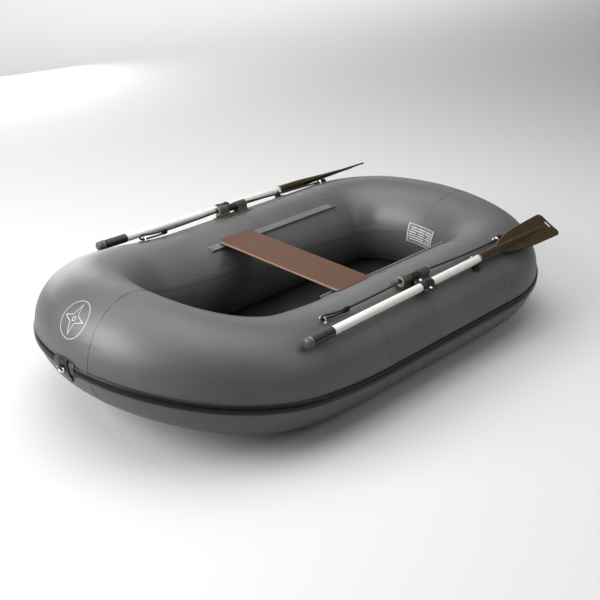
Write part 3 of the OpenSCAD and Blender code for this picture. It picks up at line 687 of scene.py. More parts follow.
class Finish:
    """What every finish has: a material whose nodes are laid by its dress method."""

    name: str

    def build(self) -> bpy.types.Material:
        """The finish as a material, made once."""
        known = bpy.data.materials.get(f"finish_{self.name}")
        if known:
            return known
        material = bpy.data.materials.new(f"finish_{self.name}")
        material.use_nodes = True
        graph = Graph(material.node_tree)
        self.dress(graph, material.node_tree.nodes["Principled BSDF"],
                   graph.add("ShaderNodeTexCoord").outputs["Object"])
        return material

    def dress(self, g: Graph, shader: bpy.types.Node, where: bpy.types.NodeSocket) -> None:
        """Lays the finish's own nodes."""
        raise NotImplementedError


@dataclass(frozen=True)
class CoatedFabric(Finish):
    """PVC-coated cloth: satin, faintly woven, with a darker line painted along each welded panel edge: partly
    its glue line, partly painted shadow of the lap's step.
    """

    name: str
    colour: Colour
    rough: float = 0.42
    weave_pitch: float = 0.0011
    seam_reach: float = 0.0034
    # strength of the darker seam line: glue line plus painted shadow of the lap's step
    seam_glue_and_shadow: float = 0.50
    dust: float = 0.25
    specular: float = 0.5

    def dress(self, g: Graph, shader: bpy.types.Node, where: bpy.types.NodeSocket) -> None:
        """Tone from wide noise, dust in patches, a darker seam line by the seam mark (glue line plus painted
        shadow of the lap's step), and woven bump.
        """
        tone = g.span(g.noise(where, 3.2, 4.0), 0.35, 0.65, 0, 1)
        base = g.blend(tone, shade(self.colour, 0.9), shade(self.colour, 1.12))
        dust = g.handling(where, 9.0, self.dust)
        base = g.blend(g.maths("MULTIPLY", dust, 0.16), base, shade(self.colour, 2.2, 0.02))
        # painted shadow: the seam line darkens the lap's edge as the step's shadow would, as well as showing
        # the glue line
        line = g.span(g.mark(), 0.0, self.seam_reach, self.seam_glue_and_shadow, 0.0)
        fine = g.noise(where, 700.0, 2.0)
        rough = g.maths("ADD", g.span(fine, 0.3, 0.7, self.rough - 0.03, self.rough + 0.03),
                        g.maths("MULTIPLY", dust, 0.12))
        g.feed(shader, {"Base Color": g.blend(line, base, shade(self.colour, 0.3)), "Roughness": rough,
                        "Specular IOR Level": self.specular})
        weave = g.use(EFFECTS.weave, Vector=g.flat(), Pitch=self.weave_pitch).outputs["Height"]
        slack = g.maths("MULTIPLY", g.noise(where, 26.0, 2.0), 2.4)
        g.bump(shader, g.maths("ADD", weave, slack), 0.35, 0.00012)


@dataclass(frozen=True)
class Moulded(Finish):
    """Moulded plastic or rubber: fine grain, uneven gloss and lighter scuffs."""

    name: str
    colour: Colour
    rough: float = 0.4
    grain: float = 900.0
    depth: float = 0.25
    scuff: float = 0.2
    specular: float = 0.5

    def dress(self, g: Graph, shader: bpy.types.Node, where: bpy.types.NodeSocket) -> None:
        """Colour times the grain's tone, lightened by handling marks, with the grain as bump."""
        grain = g.use(EFFECTS.grain, Vector=where, Scale=self.grain)
        marks = g.handling(where, 30.0, self.scuff)
        base = g.blend(g.span(grain.outputs["Tone"], 0.86, 1.14, 0, 1), shade(self.colour, 0.82),
                       shade(self.colour, 1.18))
        base = g.blend(g.maths("MULTIPLY", marks, 0.3), base, shade(self.colour, 1.8, 0.05))
        g.feed(shader, {"Base Color": base,
                        "Roughness": g.maths("ADD", g.maths("MULTIPLY", marks, 0.25), self.rough),
                        "Specular IOR Level": self.specular})
        g.bump(shader, grain.outputs["Height"], self.depth, 0.0002)


@dataclass(frozen=True)
class Metal(Finish):
    """Polished or plated metal with fine brushing and fingerprints."""

    name: str
    colour: Colour = (0.62, 0.62, 0.61)
    rough: float = 0.22

    def dress(self, g: Graph, shader: bpy.types.Node, where: bpy.types.NodeSocket) -> None:
        """Metal whose roughness follows stretched noise and handling marks."""
        brush = g.noise(g.drawn(where, (40, 900, 900)), 1.0, 2.0)
        marks = g.handling(where, 60.0, 0.5)
        rough = g.maths("ADD", g.span(brush, 0.2, 0.8, self.rough - 0.06, self.rough + 0.08),
                        g.maths("MULTIPLY", marks, 0.25))
        g.feed(shader, {"Base Color": g.blend(marks, self.colour, shade(self.colour, 0.62)), "Roughness": rough,
                        "Metallic": 1.0})
        g.bump(shader, brush, 0.08, 0.0001)


@dataclass(frozen=True)
class ShaftEnamel(Finish):
    """White stoved enamel on tube: glossy, a little uneven, with grey rubbing marks along it."""

    name: str = "shaft_paint"
    colour: Colour = (0.47, 0.47, 0.44)
    worn: Colour = (0.34, 0.34, 0.32)

    def dress(self, g: Graph, shader: bpy.types.Node, where: bpy.types.NodeSocket) -> None:
        """Off-white with marks drawn out along the boat, and a faint orange peel."""
        streak = g.span(g.noise(g.drawn(where, (6, 60, 60)), 1.6, 5.0), 0.58, 0.74, 0.0, 0.4)
        base = g.blend(streak, self.colour, shade(self.colour, 0.72))
        g.feed(shader, {"Base Color": g.blend(g.handling(where, 18.0, 0.35), base, self.worn),
                        "Roughness": g.span(streak, 0, 0.4, 0.26, 0.42)})
        g.bump(shader, g.noise(where, 420.0, 2.0), 0.12, 0.0001)


@dataclass(frozen=True)
class FacedPlywood(Finish):
    """Plywood faced with brown film: speckled satin faces, and layers showing on the sawn edge."""

    name: str = "seat_plywood"
    colour: Colour = (0.050, 0.0195, 0.0060)
    dark_layer: Colour = (0.20, 0.125, 0.092)
    light_layer: Colour = (0.27, 0.175, 0.13)
    pore: Colour = (0.15, 0.078, 0.05)
    low: float = 0.3701
    thick: float = 0.009
    layers: float = 7.0

    def dress(self, g: Graph, shader: bpy.types.Node, where: bpy.types.NodeSocket) -> None:
        """Face colour with fine speckle and drawn grain; on the edge, bands by height."""
        grain = g.noise(g.drawn(where, (90, 7, 40)), 1.4, 5.0)
        speck = g.noise(where, 620.0, 2.0)
        face = g.blend(g.span(grain, 0.3, 0.7, 0, 1), shade(self.colour, 0.93), shade(self.colour, 1.08))
        face = g.blend(g.span(speck, 0.5, 0.75, 0, 0.22), face, shade(self.colour, 1.5))
        marks = g.handling(where, 11.0, 0.4)
        face = g.blend(g.maths("MULTIPLY", marks, 0.4), face, shade(self.colour, 1.45))
        height = g.add("ShaderNodeSeparateXYZ", {0: where}).outputs[2]
        step = g.maths("MULTIPLY", g.maths("SUBTRACT", height, self.low), self.layers / self.thick)
        layer = g.maths("GREATER_THAN", g.maths("FRACT", g.maths("MULTIPLY", step, 0.5)), 0.5)
        edge = g.blend(layer, self.dark_layer, self.light_layer)
        edge = g.blend(g.span(speck, 0.35, 0.7, 0, 0.5), edge, self.pore)
        g.feed(shader, {"Base Color": g.blend(g.mark(), face, edge),
                        "Roughness": g.span(speck, 0.3, 0.7, 0.46, 0.60), "Specular IOR Level": 0.22})
        g.bump(shader, g.maths("ADD", speck, g.maths("MULTIPLY", grain, 0.6)), 0.3, 0.0001)


@dataclass(frozen=True)
class BraidedCord(Finish):
    """Braided cord: dark strands, with painted shade in the hollows between them and a painted highlight on
    their crests, and dull fuzz.
    """

    name: str = "rope_cord"
    colour: Colour = (0.012, 0.012, 0.011)
    fuzz: Colour = (0.024, 0.024, 0.023)

    def dress(self, g: Graph, shader: bpy.types.Node, where: bpy.types.NodeSocket) -> None:
        """Painted shade and highlight from the mark, which holds the braid's height: darker in the hollows,
        lighter on the crests; and fibre bump.
        """
        fibre = g.noise(where, 1500.0, 3.0)
        # painted shade and highlight: tone runs from 0.35 of the colour in the strand hollows to 1.1 on the
        # crests
        base = g.blend(g.span(g.mark(), 0.2, 1.0, 0, 1), shade(self.colour, 0.35), shade(self.colour, 1.1))
        g.feed(shader, {"Base Color": g.blend(g.span(fibre, 0.55, 0.8, 0, 0.3), base, self.fuzz),
                        "Roughness": g.span(fibre, 0.3, 0.7, 0.5, 0.68), "Specular IOR Level": 0.2})
        g.bump(shader, fibre, 0.4, 0.0002)


@dataclass(frozen=True)
class PrintedFilm(Finish):
    """Film printed with a white frame and plain bars, which stand for a plate's rows of data."""

    name: str = "label_film"
    ground: Colour = (0.09, 0.091, 0.094)
    ink: Colour = (0.56, 0.56, 0.56)
    rows: float = 8.0
    bars: float = 3.0

    def dress(self, g: Graph, shader: bpy.types.Node, where: bpy.types.NodeSocket) -> None:
        """A frame where the flat place is near a side, and bars of uneven length in rows."""
        part = g.add("ShaderNodeSeparateXYZ", {0: g.flat()})
        u, v = part.outputs[0], part.outputs[1]
        near_u, near_v = (g.maths("MINIMUM", k, g.maths("SUBTRACT", 1.0, k)) for k in (u, v))
        border = g.maths("MAXIMUM", g.maths("LESS_THAN", near_u, 0.022), g.maths("LESS_THAN", near_v, 0.020))
        inside = g.maths("MULTIPLY", g.maths("GREATER_THAN", near_u, 0.06),
                         g.maths("GREATER_THAN", near_v, 0.09))
        row, bar = g.maths("MULTIPLY", v, self.rows), g.maths("MULTIPLY", u, self.bars)
        off_row = g.maths("ABSOLUTE", g.maths("SUBTRACT", g.maths("FRACT", row), 0.5))
        lot_of = g.add("ShaderNodeCombineXYZ", {0: g.maths("FLOOR", row), 1: g.maths("FLOOR", bar)}).outputs[0]
        lot = g.add("ShaderNodeTexWhiteNoise", {"Vector": lot_of}, noise_dimensions="3D").outputs[0]
        line = g.maths("MULTIPLY", g.maths("LESS_THAN", off_row, 0.15), inside)
        short = g.maths("LESS_THAN", g.maths("FRACT", bar), g.span(lot, 0, 1, 0.6, 1.2))
        ink = g.maths("MAXIMUM", border, g.maths("MULTIPLY", line, short))
        worn = g.span(g.noise(where, 300.0, 3.0), 0.35, 0.6, 0.55, 1.0)
        g.feed(shader, {"Base Color": g.blend(g.maths("MULTIPLY", ink, worn), self.ground, self.ink),
                        "Roughness": g.span(ink, 0, 1, 0.38, 0.5)})


@dataclass(frozen=True)
class StudioPaper(Finish):
    """Pale backdrop paper: nearly even, with the faintest mottling."""

    name: str = "studio_paper"
    colour: Colour = (0.43, 0.43, 0.43)

    def dress(self, g: Graph, shader: bpy.types.Node, where: bpy.types.NodeSocket) -> None:
        """Two close tones by wide noise."""
        g.feed(shader, {"Base Color": g.blend(g.noise(where, 1.2, 2.0), shade(self.colour, 0.99), self.colour),
                        "Roughness": 0.9, "Specular IOR Level": 0.1})


HULL = CoatedFabric("hull_fabric", (0.0455, 0.0459, 0.0469))
TAPE = CoatedFabric("seam_tape", (0.044, 0.0444, 0.0455), rough=0.5, seam_glue_and_shadow=0.0)
INNER = CoatedFabric("bulkhead_fabric", (0.10, 0.102, 0.104), rough=0.55)
FLOOR = CoatedFabric("floor_fabric", (0.008, 0.008, 0.0084), rough=0.5, weave_pitch=0.0016, dust=0.6)
PATCH = CoatedFabric("patch_fabric", (0.021, 0.0228, 0.0255), rough=0.36, seam_glue_and_shadow=0.0, specular=0.3)
RAIL = CoatedFabric("rail_fabric", (0.095, 0.0965, 0.098), rough=0.45, seam_glue_and_shadow=0.0)
STRAKE = Moulded("strake_rubber", (0.0046, 0.0038, 0.0025), rough=0.3, grain=500, depth=0.08, scuff=0.06,
                 specular=0.16)
BLACK_RUBBER = Moulded("black_rubber", (0.006, 0.006, 0.006), rough=0.34, scuff=0.15, specular=0.3)
GRIP = Moulded("grip_rubber", (0.0035, 0.0035, 0.0033), rough=0.26, grain=700, depth=0.3, scuff=0.1,
               specular=0.35)
BLACK = Moulded("black_plastic", (0.0060, 0.0060, 0.0060), rough=0.28, scuff=0.12, specular=0.35)
OLIVE = Moulded("olive_plastic", (0.026, 0.0243, 0.0160), rough=0.36, scuff=0.3, specular=0.35)
COLLAR = Moulded("collar_plastic", (0.0050, 0.0048, 0.0040), rough=0.28, scuff=0.12, specular=0.35)
BLADE = Moulded("blade_plastic", (0.022, 0.0140, 0.0052), rough=0.40, scuff=0.06, specular=0.13)
AXLE = Moulded("axle_plastic", (0.15, 0.152, 0.148), rough=0.35, scuff=0.3)
GREY = Moulded("grey_plastic", (0.034, 0.0345, 0.0355), rough=0.4, scuff=0.3)
EYE = Moulded("eye_pad", (0.040, 0.040, 0.036), rough=0.4, scuff=0.3)
VALVE = Moulded("valve_plastic", (0.20, 0.20, 0.205), rough=0.38, scuff=0.3)
TRANSFER = Moulded("white_transfer", (0.34, 0.34, 0.34), rough=0.42, grain=600, depth=0.1, scuff=0.5)
STEEL = Metal("bright_steel")
PAINT = ShaftEnamel()
PLYWOOD = FacedPlywood()
CORD = BraidedCord()
LABEL = PrintedFilm()


# ---------------------------------------------------------------- pieces


def stand(name: str, data: bpy.types.ID) -> bpy.types.Object:
    """A new object with that data, in the scene."""
    obj = bpy.data.objects.new(name, data)
    bpy.context.scene.collection.objects.link(obj)
    return obj


def piece(name: str, shell: Shell, finish: Finish, body: str = "hull",
          replaces: tuple[str, ...] = (), crease: float = 38.0) -> bpy.types.Object:
    """Puts a shell into a mesh, gives it its finish and sets it on its body.

    Args:
        name: the piece's name.
        shell: its surface, already in place.
        finish: what it is finished with.
        body: the body it moves with.
        replaces: the frame's nodes it stands for.
        crease: edges sharper than this many degrees stay sharp.
    Returns:
        The object.
    """
    mesh = bpy.data.meshes.new(name)
    q, t = shell.quads, shell.tris
    mesh.vertices.add(len(shell.points))
    mesh.vertices.foreach_set("co", np.ascontiguousarray(shell.points, np.float32).ravel())
    corners = np.concatenate([q.ravel(), t.ravel()]).astype(np.int32)
    mesh.loops.add(len(corners))
    mesh.loops.foreach_set("vertex_index", corners)
    mesh.polygons.add(len(q) + len(t))
    starts = np.concatenate([np.arange(len(q)) * 4, 4 * len(q) + np.arange(len(t)) * 3]).astype(np.int32)
    mesh.polygons.foreach_set("loop_start", starts)
    mesh.update(calc_edges=True)
    flat = np.concatenate([shell.quad_uv.reshape(-1, 2), shell.tri_uv.reshape(-1, 2)]).astype(np.float32)
    mesh.uv_layers.new(name="flat").data.foreach_set("uv", flat.ravel())
    mesh.attributes.new("seam", "FLOAT", "POINT").data.foreach_set("value", shell.marks.astype(np.float32))
    mesh.shade_smooth()
    mesh.set_sharp_from_angle(angle=math.radians(crease))
    mesh.materials.append(finish.build())
    obj = stand(name, mesh)
    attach(obj, body)
    if replaces:
        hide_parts(*replaces)
    log.info("%s: %d faces, rides on %s", name, len(q) + len(t), body)
    return obj


@dataclass(frozen=True)
class Part:
    """A piece that stands on both sides: its name's stem, its port shell and what it is made of.

    Nodes are the stems of the frame's nodes that it stands for. The body oar is each side's own oar.
    """

    name: str
    shell: Shell
    finish: Finish
    slot: str
    nodes: tuple[str, ...] = ()
    body: str = "hull"
    crease: float = 38.0

    def put(self, side: Side) -> None:
        """Builds the piece as it stands on that side."""
        piece(f"{self.name}_{side.value}", self.shell.on(side), self.finish,
              side.oar_body if self.body == "oar" else self.body,
              tuple(f"{node}_{side.value}" for node in self.nodes), self.crease)


def put_pairs(*parts: Part) -> None:
    """Builds all the parts on the port side, then all of them on the starboard side."""
    for side in Side:
        for part in parts:
            part.put(side)


@dataclass(frozen=True)
class TubeRing:
    """The ring of inflated tube, made of panels that lap over each other at the seams."""

    form: HullForm = FORM
    wall: float = 0.001
    around: int = 120
    step: float = 0.011
    lap: float = 0.030
    lap_rise: float = 0.0006
    tuck: float = 0.006
    under: float = 0.0001
    pucker: float = 0.00035
    pucker_reach: float = 0.05
    pucker_waves: tuple[int, int, int] = (13, 22, 37)
    bow_panel_deg: float = 10.5
    stern_panel_deg: float = 5.5
    chamber_x: float = -0.095
    quiet: float = 0.0032

    def panel(self, stations: Array, lap_start: bool, lap_end: bool, seed: int, quiet: float = 0.0) -> Shell:
        """One panel of tube.

        Its radius is the tube's, plus the lap's rise eased in towards an edge that lies on top, less
        a little towards an edge that is tucked under, plus puckers: three waves round the tube that
        fade with the distance from the seam.

        Args:
            stations: rows along it, edge to edge.
            lap_start: true if its first edge lies over its neighbour.
            lap_end: true if its last edge does.
            seed: seed of the puckers' phases.
            quiet: distance added to the seam mark, which fades the darker seam line, a glue line plus painted
                shadow.
        Returns:
            The shell.
        """
        run, turn = run_along(stations[:, :2]), circle(self.around)
        ends = (run, run[-1] - run)
        draw = np.random.default_rng(seed)
        radius = np.full((len(run), self.around), self.form.tube_r)
        for distance, over in zip(ends, (lap_start, lap_end)):
            rise = self.lap_rise if over else -self.under
            radius += rise * ease(1 - distance / self.lap)[:, None]
            waves = sum(np.cos(k * turn + p) for k, p in zip(self.pucker_waves, draw.uniform(0, 6.28, 3)))
            radius += self.pucker * np.exp(-(distance / self.pucker_reach) ** 2)[:, None] * waves / 1.6
        near = quiet + np.minimum(np.where(lap_start, ends[0], FAR), np.where(lap_end, ends[1], FAR))
        out, back = (self.form.on_tube(stations, np.degrees(turn), r) for r in (radius, radius - self.wall))
        cell = (run[-1] / (len(run) - 1), 2 * math.pi * self.form.tube_r / self.around)
        return grid(np.concatenate([out, back[::-1]]), wrap_u=True, cell=cell,
                    marks=np.concatenate([near, near[::-1]])[:, None])

    def build(self) -> None:
        """The bow panel, the two bow sides, the four side tubes and the three stern panels."""
        f = self.form

        def rows(length: float) -> int:
            """Rows on that length of tube."""
            return max(4, int(length / self.step))

        def skin(name: str, stations: Array, seed: int, nodes: tuple[str, ...], lap: bool = True) -> Part:
            """A side panel, which laps over its neighbour at its first edge if lap is true."""
            shell = self.panel(stations, lap, False, seed, self.quiet if lap else 0.0)
            return Part(name, shell, HULL, "hull_fabric", nodes)

        bow, stern = self.bow_panel_deg, self.stern_panel_deg
        tuck_bow = math.degrees(self.tuck / f.end_r(f.bow_corner_r, f.bow_corner_deg))
        tuck_stern = math.degrees(self.tuck / f.end_r(f.stern_corner_r, f.stern_corner_deg))
        piece("bow_panel_skin", self.panel(f.bow(np.linspace(-bow, bow, 18)), True, True, 1), HULL,
              replaces=("bow_panel",))
        quarter = np.concatenate([f.bow(np.linspace(bow - tuck_bow, 90, rows(0.75))),
                                  f.side(np.linspace(f.bow_straight, f.bow_level - self.tuck, rows(0.3)))[1:]])
        fore = f.side(np.linspace(f.bow_level, self.chamber_x - self.tuck, rows(0.28)))
        aft = f.side(np.linspace(self.chamber_x, -f.stern_level - self.tuck, rows(0.43)))
        corner = np.concatenate([f.side(np.linspace(-f.stern_level, -f.stern_straight, 6)),
                                 f.stern(np.linspace(90, stern - tuck_stern, rows(0.75)))[1:]])
        put_pairs(skin("bow_side_skin", quarter, 2, ("bow_quarter", "bow_corner"), lap=False),
                  skin("fore_tube_skin", fore, 3, ("fore_tube",)),
                  skin("aft_tube_skin", aft, 4, ("aft_tube",)),
                  skin("stern_side_skin", corner, 5, ("stern_corner",)),
                  Part("bulkhead_wall", self.bulkhead(), INNER, "bulkhead_fabric", ("bulkhead",)))
        piece("stern_panel_skin", self.panel(f.stern(np.linspace(stern, -stern, 12)), True, True, 6), HULL,
              replaces=("stern_panel",))
        self.inner_seam()

    def bulkhead(self) -> Shell:
        """The fabric wall between two air chambers: a disc with a thicker welded rim."""
        r, t = self.form.tube_r - 0.0022, 0.0006
        half = [(t, 0), (t, 0.06), (t, 0.12), (t, r - 0.024), (2.4 * t, r - 0.022), (2.4 * t, r)]
        return lathe(upright(self.chamber_x, self.form.side_y, self.form.tube_r),
                     [(-x, y) for x, y in half] + half[::-1], 72)

    def inner_seam(self) -> None:
        """Tape welded over the long seam on the tube's inner wall, all the way round."""
        step = 0.012
        share = np.linspace(0, 1, len(self.form.port_line(step)))
        deg = np.interp(share, [0, 0.3, 0.45, 0.6, 0.8, 0.93, 1], [-66, -66, -69, -80, -84, -82, -76])
        mid = np.concatenate([deg, deg[-2:0:-1]])
        offset = np.array([-3.2, -3.0, -1.5, 0, 1.5, 3.0, 3.2])
        lift = np.array([0.0006, 0.0012, 0.0013, 0.0013, 0.0013, 0.0012, 0.0006])
        shell = self.form.tape(self.form.loop(step), mid[:, None] + offset, lift, 0.0001, (step, 0.003))
        piece("inner_seam_tape", shell, TAPE)


@dataclass(frozen=True)
class Floor:
    """The coated cloth floor and the tape that welds its edge to the tube."""

    form: HullForm = FORM
    weld_deg: float = -140
    thick: float = 0.0012
    across: int = 40
    ripple: float = 0.0022

    def build(self) -> None:
        """The floor cloth, stretched between the two weld lines, and its weld tape."""
        f = self.form
        edge = f.on_tube(f.port_line(0.02)[2:-2], self.weld_deg, f.tube_r + LAY)[:, 0]
        share = np.linspace(1, -1, self.across)
        x, y = edge[:, None, 0] + 0 * share, edge[:, None, 1] * share
        slack = (1 - share ** 2) * self.ripple * (np.sin(x * 21 + 1.3 * share) + 0.5 * np.sin(x * 47 + y * 19))
        z = edge[:, None, 2] - self.thick / 2 + slack
        faces = [np.stack([x, y, z + k * self.thick / 2], -1) for k in (1, -1)]
        ends = [edge[k] * (1, 0, 1) + (out, 0, 0) for k, out in ((-1, -1e-4), (0, 1e-4))]
        cloth = piece("floor_cloth", grid(folded(*faces)[::-1], poles=tuple(ends), cell=(0.02, 0.02)), FLOOR,
                      replaces=("floor_skin",))
        line = np.array([-146.0, -145.6, -143, -139, -135, -131, -130.6])
        lift = np.array([0.0016, 0.0032, 0.0034, 0.0036, 0.0022, 0.0019, 0.0008])
        tape = f.tape(f.loop(0.014), line, lift, 0.0002, (0.014, 0.008))
        piece("floor_weld_tape", tape, TAPE)


@dataclass(frozen=True)
class RubbingStrake:
    """The ribbed rubber strake round the outside of the tube, and the patch over its joint."""

    form: HullForm = FORM
    width: float = 0.040
    thick: float = 0.007
    patch_l: float = 0.110
    patch_h: float = 0.062
    beads: tuple[tuple[float, float, float], ...] = ((0.16, 0.50, 0.085), (0.62, 0.58, 0.27))

    def profile(self, share: Array) -> Array:
        """Height of the section across its width: a flange, a narrow bead above and a wide one below."""
        flange = 0.42 * ease(np.minimum(share, 1 - share) / 0.05)
        beads = sum(height * np.exp(-(np.abs(share - middle) / reach) ** 4)
                    for middle, height, reach in self.beads)
        return self.thick * np.clip(flange + beads, 0, 1)

    def build(self) -> None:
        """The strake and the patch."""
        f = self.form
        span = math.degrees(self.width / f.tube_r)
        share = np.linspace(0, 1, 37)
        rho = f.tube_r + LAY + self.profile(share)
        stations = f.loop(0.011)
        out = f.on_tube(stations, 90 + span * share, rho)
        back = f.on_tube(stations, 90 + span * share[::-6], f.tube_r + LAY)
        piece("rubbing_strake", grid(np.concatenate([out, back], 1), wrap_u=True, cell=(0.011, 0.001)),
              STRAKE, replaces=("strake",), crease=60)
        self.joint_patch(span)

    def joint_patch(self, span: float) -> None:
        """Patch cloth that follows the strake's ribs, with rounded corners where it is cut."""
        f = self.form
        half = math.degrees(self.patch_l / 2 / f.bow_arc())
        reach = math.degrees((self.patch_h - self.width) / 2 / f.tube_r)
        share = np.linspace(-1, 1, 41)
        deg = 90 + span / 2 + share * (span / 2 + reach)
        swell = np.where((deg > 90) & (deg < 90 + span), self.thick * 0.93, 0)
        swell = np.convolve(np.pad(swell, 3, mode="edge"), np.ones(7) / 7, "valid")
        rho = f.tube_r + LAY + 0.0004 + swell
        short = np.sqrt(np.clip(1 - np.clip(np.abs(share) - 0.75, 0, 1) ** 2 / 0.0625, 0.05, 1))
        turned = np.linspace(-1, 1, 29)[:, None] * (half - 0.9 + 0.9 * short)
        faces = [f.on_bow(turned, np.broadcast_to(deg, turned.shape), np.broadcast_to(rho + lift, turned.shape))
                 for lift in (0.001, 0.0)]
        piece("strake_joint_cloth", capped(folded(*faces), (0.004, 0.002)), PATCH,
              replaces=("strake_joint_patch",))


@dataclass(frozen=True)
class TowFitting:
    """The towing pad at the bow: a thick pad with a tapering tail, a loop and a steel D ring."""

    form: HullForm = FORM
    pad_w: float = 0.064
    standoff: float = 0.017
    hinge_deg: float = 95
    ring_r: float = 0.015
    rod_r: float = 0.003
    loop_w: float = 0.020
    top_deg: float = 86
    low_deg: float = 116
    step_deg: float = 96
    step_reach: float = 9.5
    step_h: float = 0.0072

    @property
    def hinge(self) -> Place:
        """The ring's hinge: Y along its bar."""
        f = self.form
        z = f.tube_r + f.bow_rise + f.tube_r * math.cos(math.radians(self.hinge_deg))
        return upright(f.bow_a + f.tube_r + self.standoff, 0, z)

    def pad(self) -> Shell:
        """The pad: an outline that is square above and tapers to a round tail, laid on the bow."""
        f, turn = self.form, circle(64)
        q = np.sin(turn)
        width = np.where(q > 0, 1.0, 1 + 0.62 * q)
        mid, half = (self.top_deg + self.low_deg) / 2, math.radians(self.low_deg - self.top_deg) / 2
        outline = np.column_stack([squared(np.cos(turn), 0.45) * self.pad_w / 2 * width,
                                   -squared(q, 0.7) * half * f.tube_r])
        rings = slab(outline, 0.0032, 0.0014, 6, 4, 0.0012)
        deg = mid + np.degrees(rings[..., 1] / f.tube_r)
        step = np.exp(-(((deg - self.step_deg) / self.step_reach) ** 4)) * self.step_h
        rho = f.tube_r + LAY + 0.0014 + step + rings[..., 2]
        return capped(f.on_bow(np.degrees(rings[..., 0] / f.bow_arc()), deg, rho), (0.003, 0.003))

    def build(self) -> None:
        """Pad, loop and ring."""
        hinge, r = self.hinge, self.rod_r + 0.0022
        turn = np.radians(np.linspace(-150, 150, 25)[1:-1])
        root = -self.standoff + 0.0085
        loop = np.column_stack([r * np.cos(turn), 0 * turn, r * np.sin(turn)])
        line = np.concatenate([[[root, 0, -r * 0.9]], loop, [[root, 0, r * 0.9]]])
        strap = band(spline(line, 0.0012), (0, 1, 0), self.loop_w, 0.0022, 20, (0.35, 0.6))
        piece("tow_pad_rubber", join(self.pad(), capped(hinge.at(strap))), BLACK_RUBBER,
              replaces=("tow_pad",))
        mid = self.ring_r + self.rod_r
        angle, bar = np.linspace(0, math.pi, 33), np.linspace(-mid, mid, 13)[1:-1]
        path = np.concatenate([np.column_stack([0 * bar, bar, 0 * bar]),
                               np.column_stack([0 * angle, mid * np.cos(angle), -mid * np.sin(angle)])])
        forward, turn = np.array([1.0, 0, 0]), circle(14)
        tube = rings_on(path, np.cross(heading(path, closed=True), forward), forward,
                        self.rod_r * np.cos(turn), self.rod_r * np.sin(turn))
        piece("tow_ring_steel", grid(hinge.at(tube), wrap_u=True), STEEL, body="tow_ring",
              replaces=("tow_ring",))


@dataclass(frozen=True)
class Markings:
    """The plain oval emblem on the bow and the plate on the inner wall at the stern."""

    form: HullForm = FORM
    emblem_deg: float = 47.5
    emblem_w: float = 0.0596
    emblem_h: float = 0.069
    line_w: float = 0.0023
    long_point: float = 0.80
    short_point: float = 0.27
    small_ring: float = 0.11
    plate_lift: float = 0.0016
    plate_headings: tuple[float, float] = (13.5, -3.5)
    plate_degs: tuple[float, float] = (-91, -67)

    def stripe(self, path: Array) -> Shell:
        """A thin closed transfer line on the bow along a flat path; its width lies across the path."""
        f, along = self.form, heading(path, closed=True)
        normal = np.column_stack([-along[:, 1], along[:, 0]])
        offsets = np.array([-0.5, -0.35, 0, 0.35, 0.5, 0.5, -0.5]) * self.line_w
        lifts = np.array([0.0003, 0.0005, 0.0005, 0.0005, 0.0003, 0.0, 0.0]) + 0.0001
        flat = path[:, None] + offsets[None, :, None] * normal[:, None]
        deg = self.emblem_deg - np.degrees(flat[..., 1] / f.tube_r)
        turned = np.degrees(flat[..., 0] / f.bow_arc(self.emblem_deg))
        return grid(f.on_bow(turned, deg, np.broadcast_to(f.tube_r + lifts, deg.shape)), wrap_u=True)

    def build(self) -> None:
        """An upright oval ring, a star with four long points and a small ring in it, and the plate."""
        size = np.array([self.emblem_w, self.emblem_h])
        oval = size * on_circle(circle(96))
        corner = np.arange(9)
        reach = np.where(corner % 2 == 0, self.long_point, self.short_point)[:, None]
        corners = reach * on_circle(corner * math.pi / 4)
        share = np.linspace(0, 8, 128, endpoint=False)
        star = size * np.column_stack([np.interp(share, corner, corners[:, k]) for k in (0, 1)])
        lines = (oval, star, oval * self.small_ring)
        piece("bow_emblem", join(*(self.stripe(line) for line in lines)), TRANSFER)
        self.plate()

    def plate(self) -> None:
        """The printed plate, which lies on the inner wall; its flat place runs from 0 to 1 both ways."""
        f = self.form
        stations, deg = f.stern(np.linspace(*self.plate_headings, 25)), np.linspace(*self.plate_degs, 21)
        faces = [f.on_tube(stations, deg, f.tube_r + self.plate_lift + lift) for lift in (0.0004, -0.0014)]
        piece("data_plate", capped(folded(*faces), (1 / 24, 1 / 20)), LABEL,
              replaces=("label_plate",))


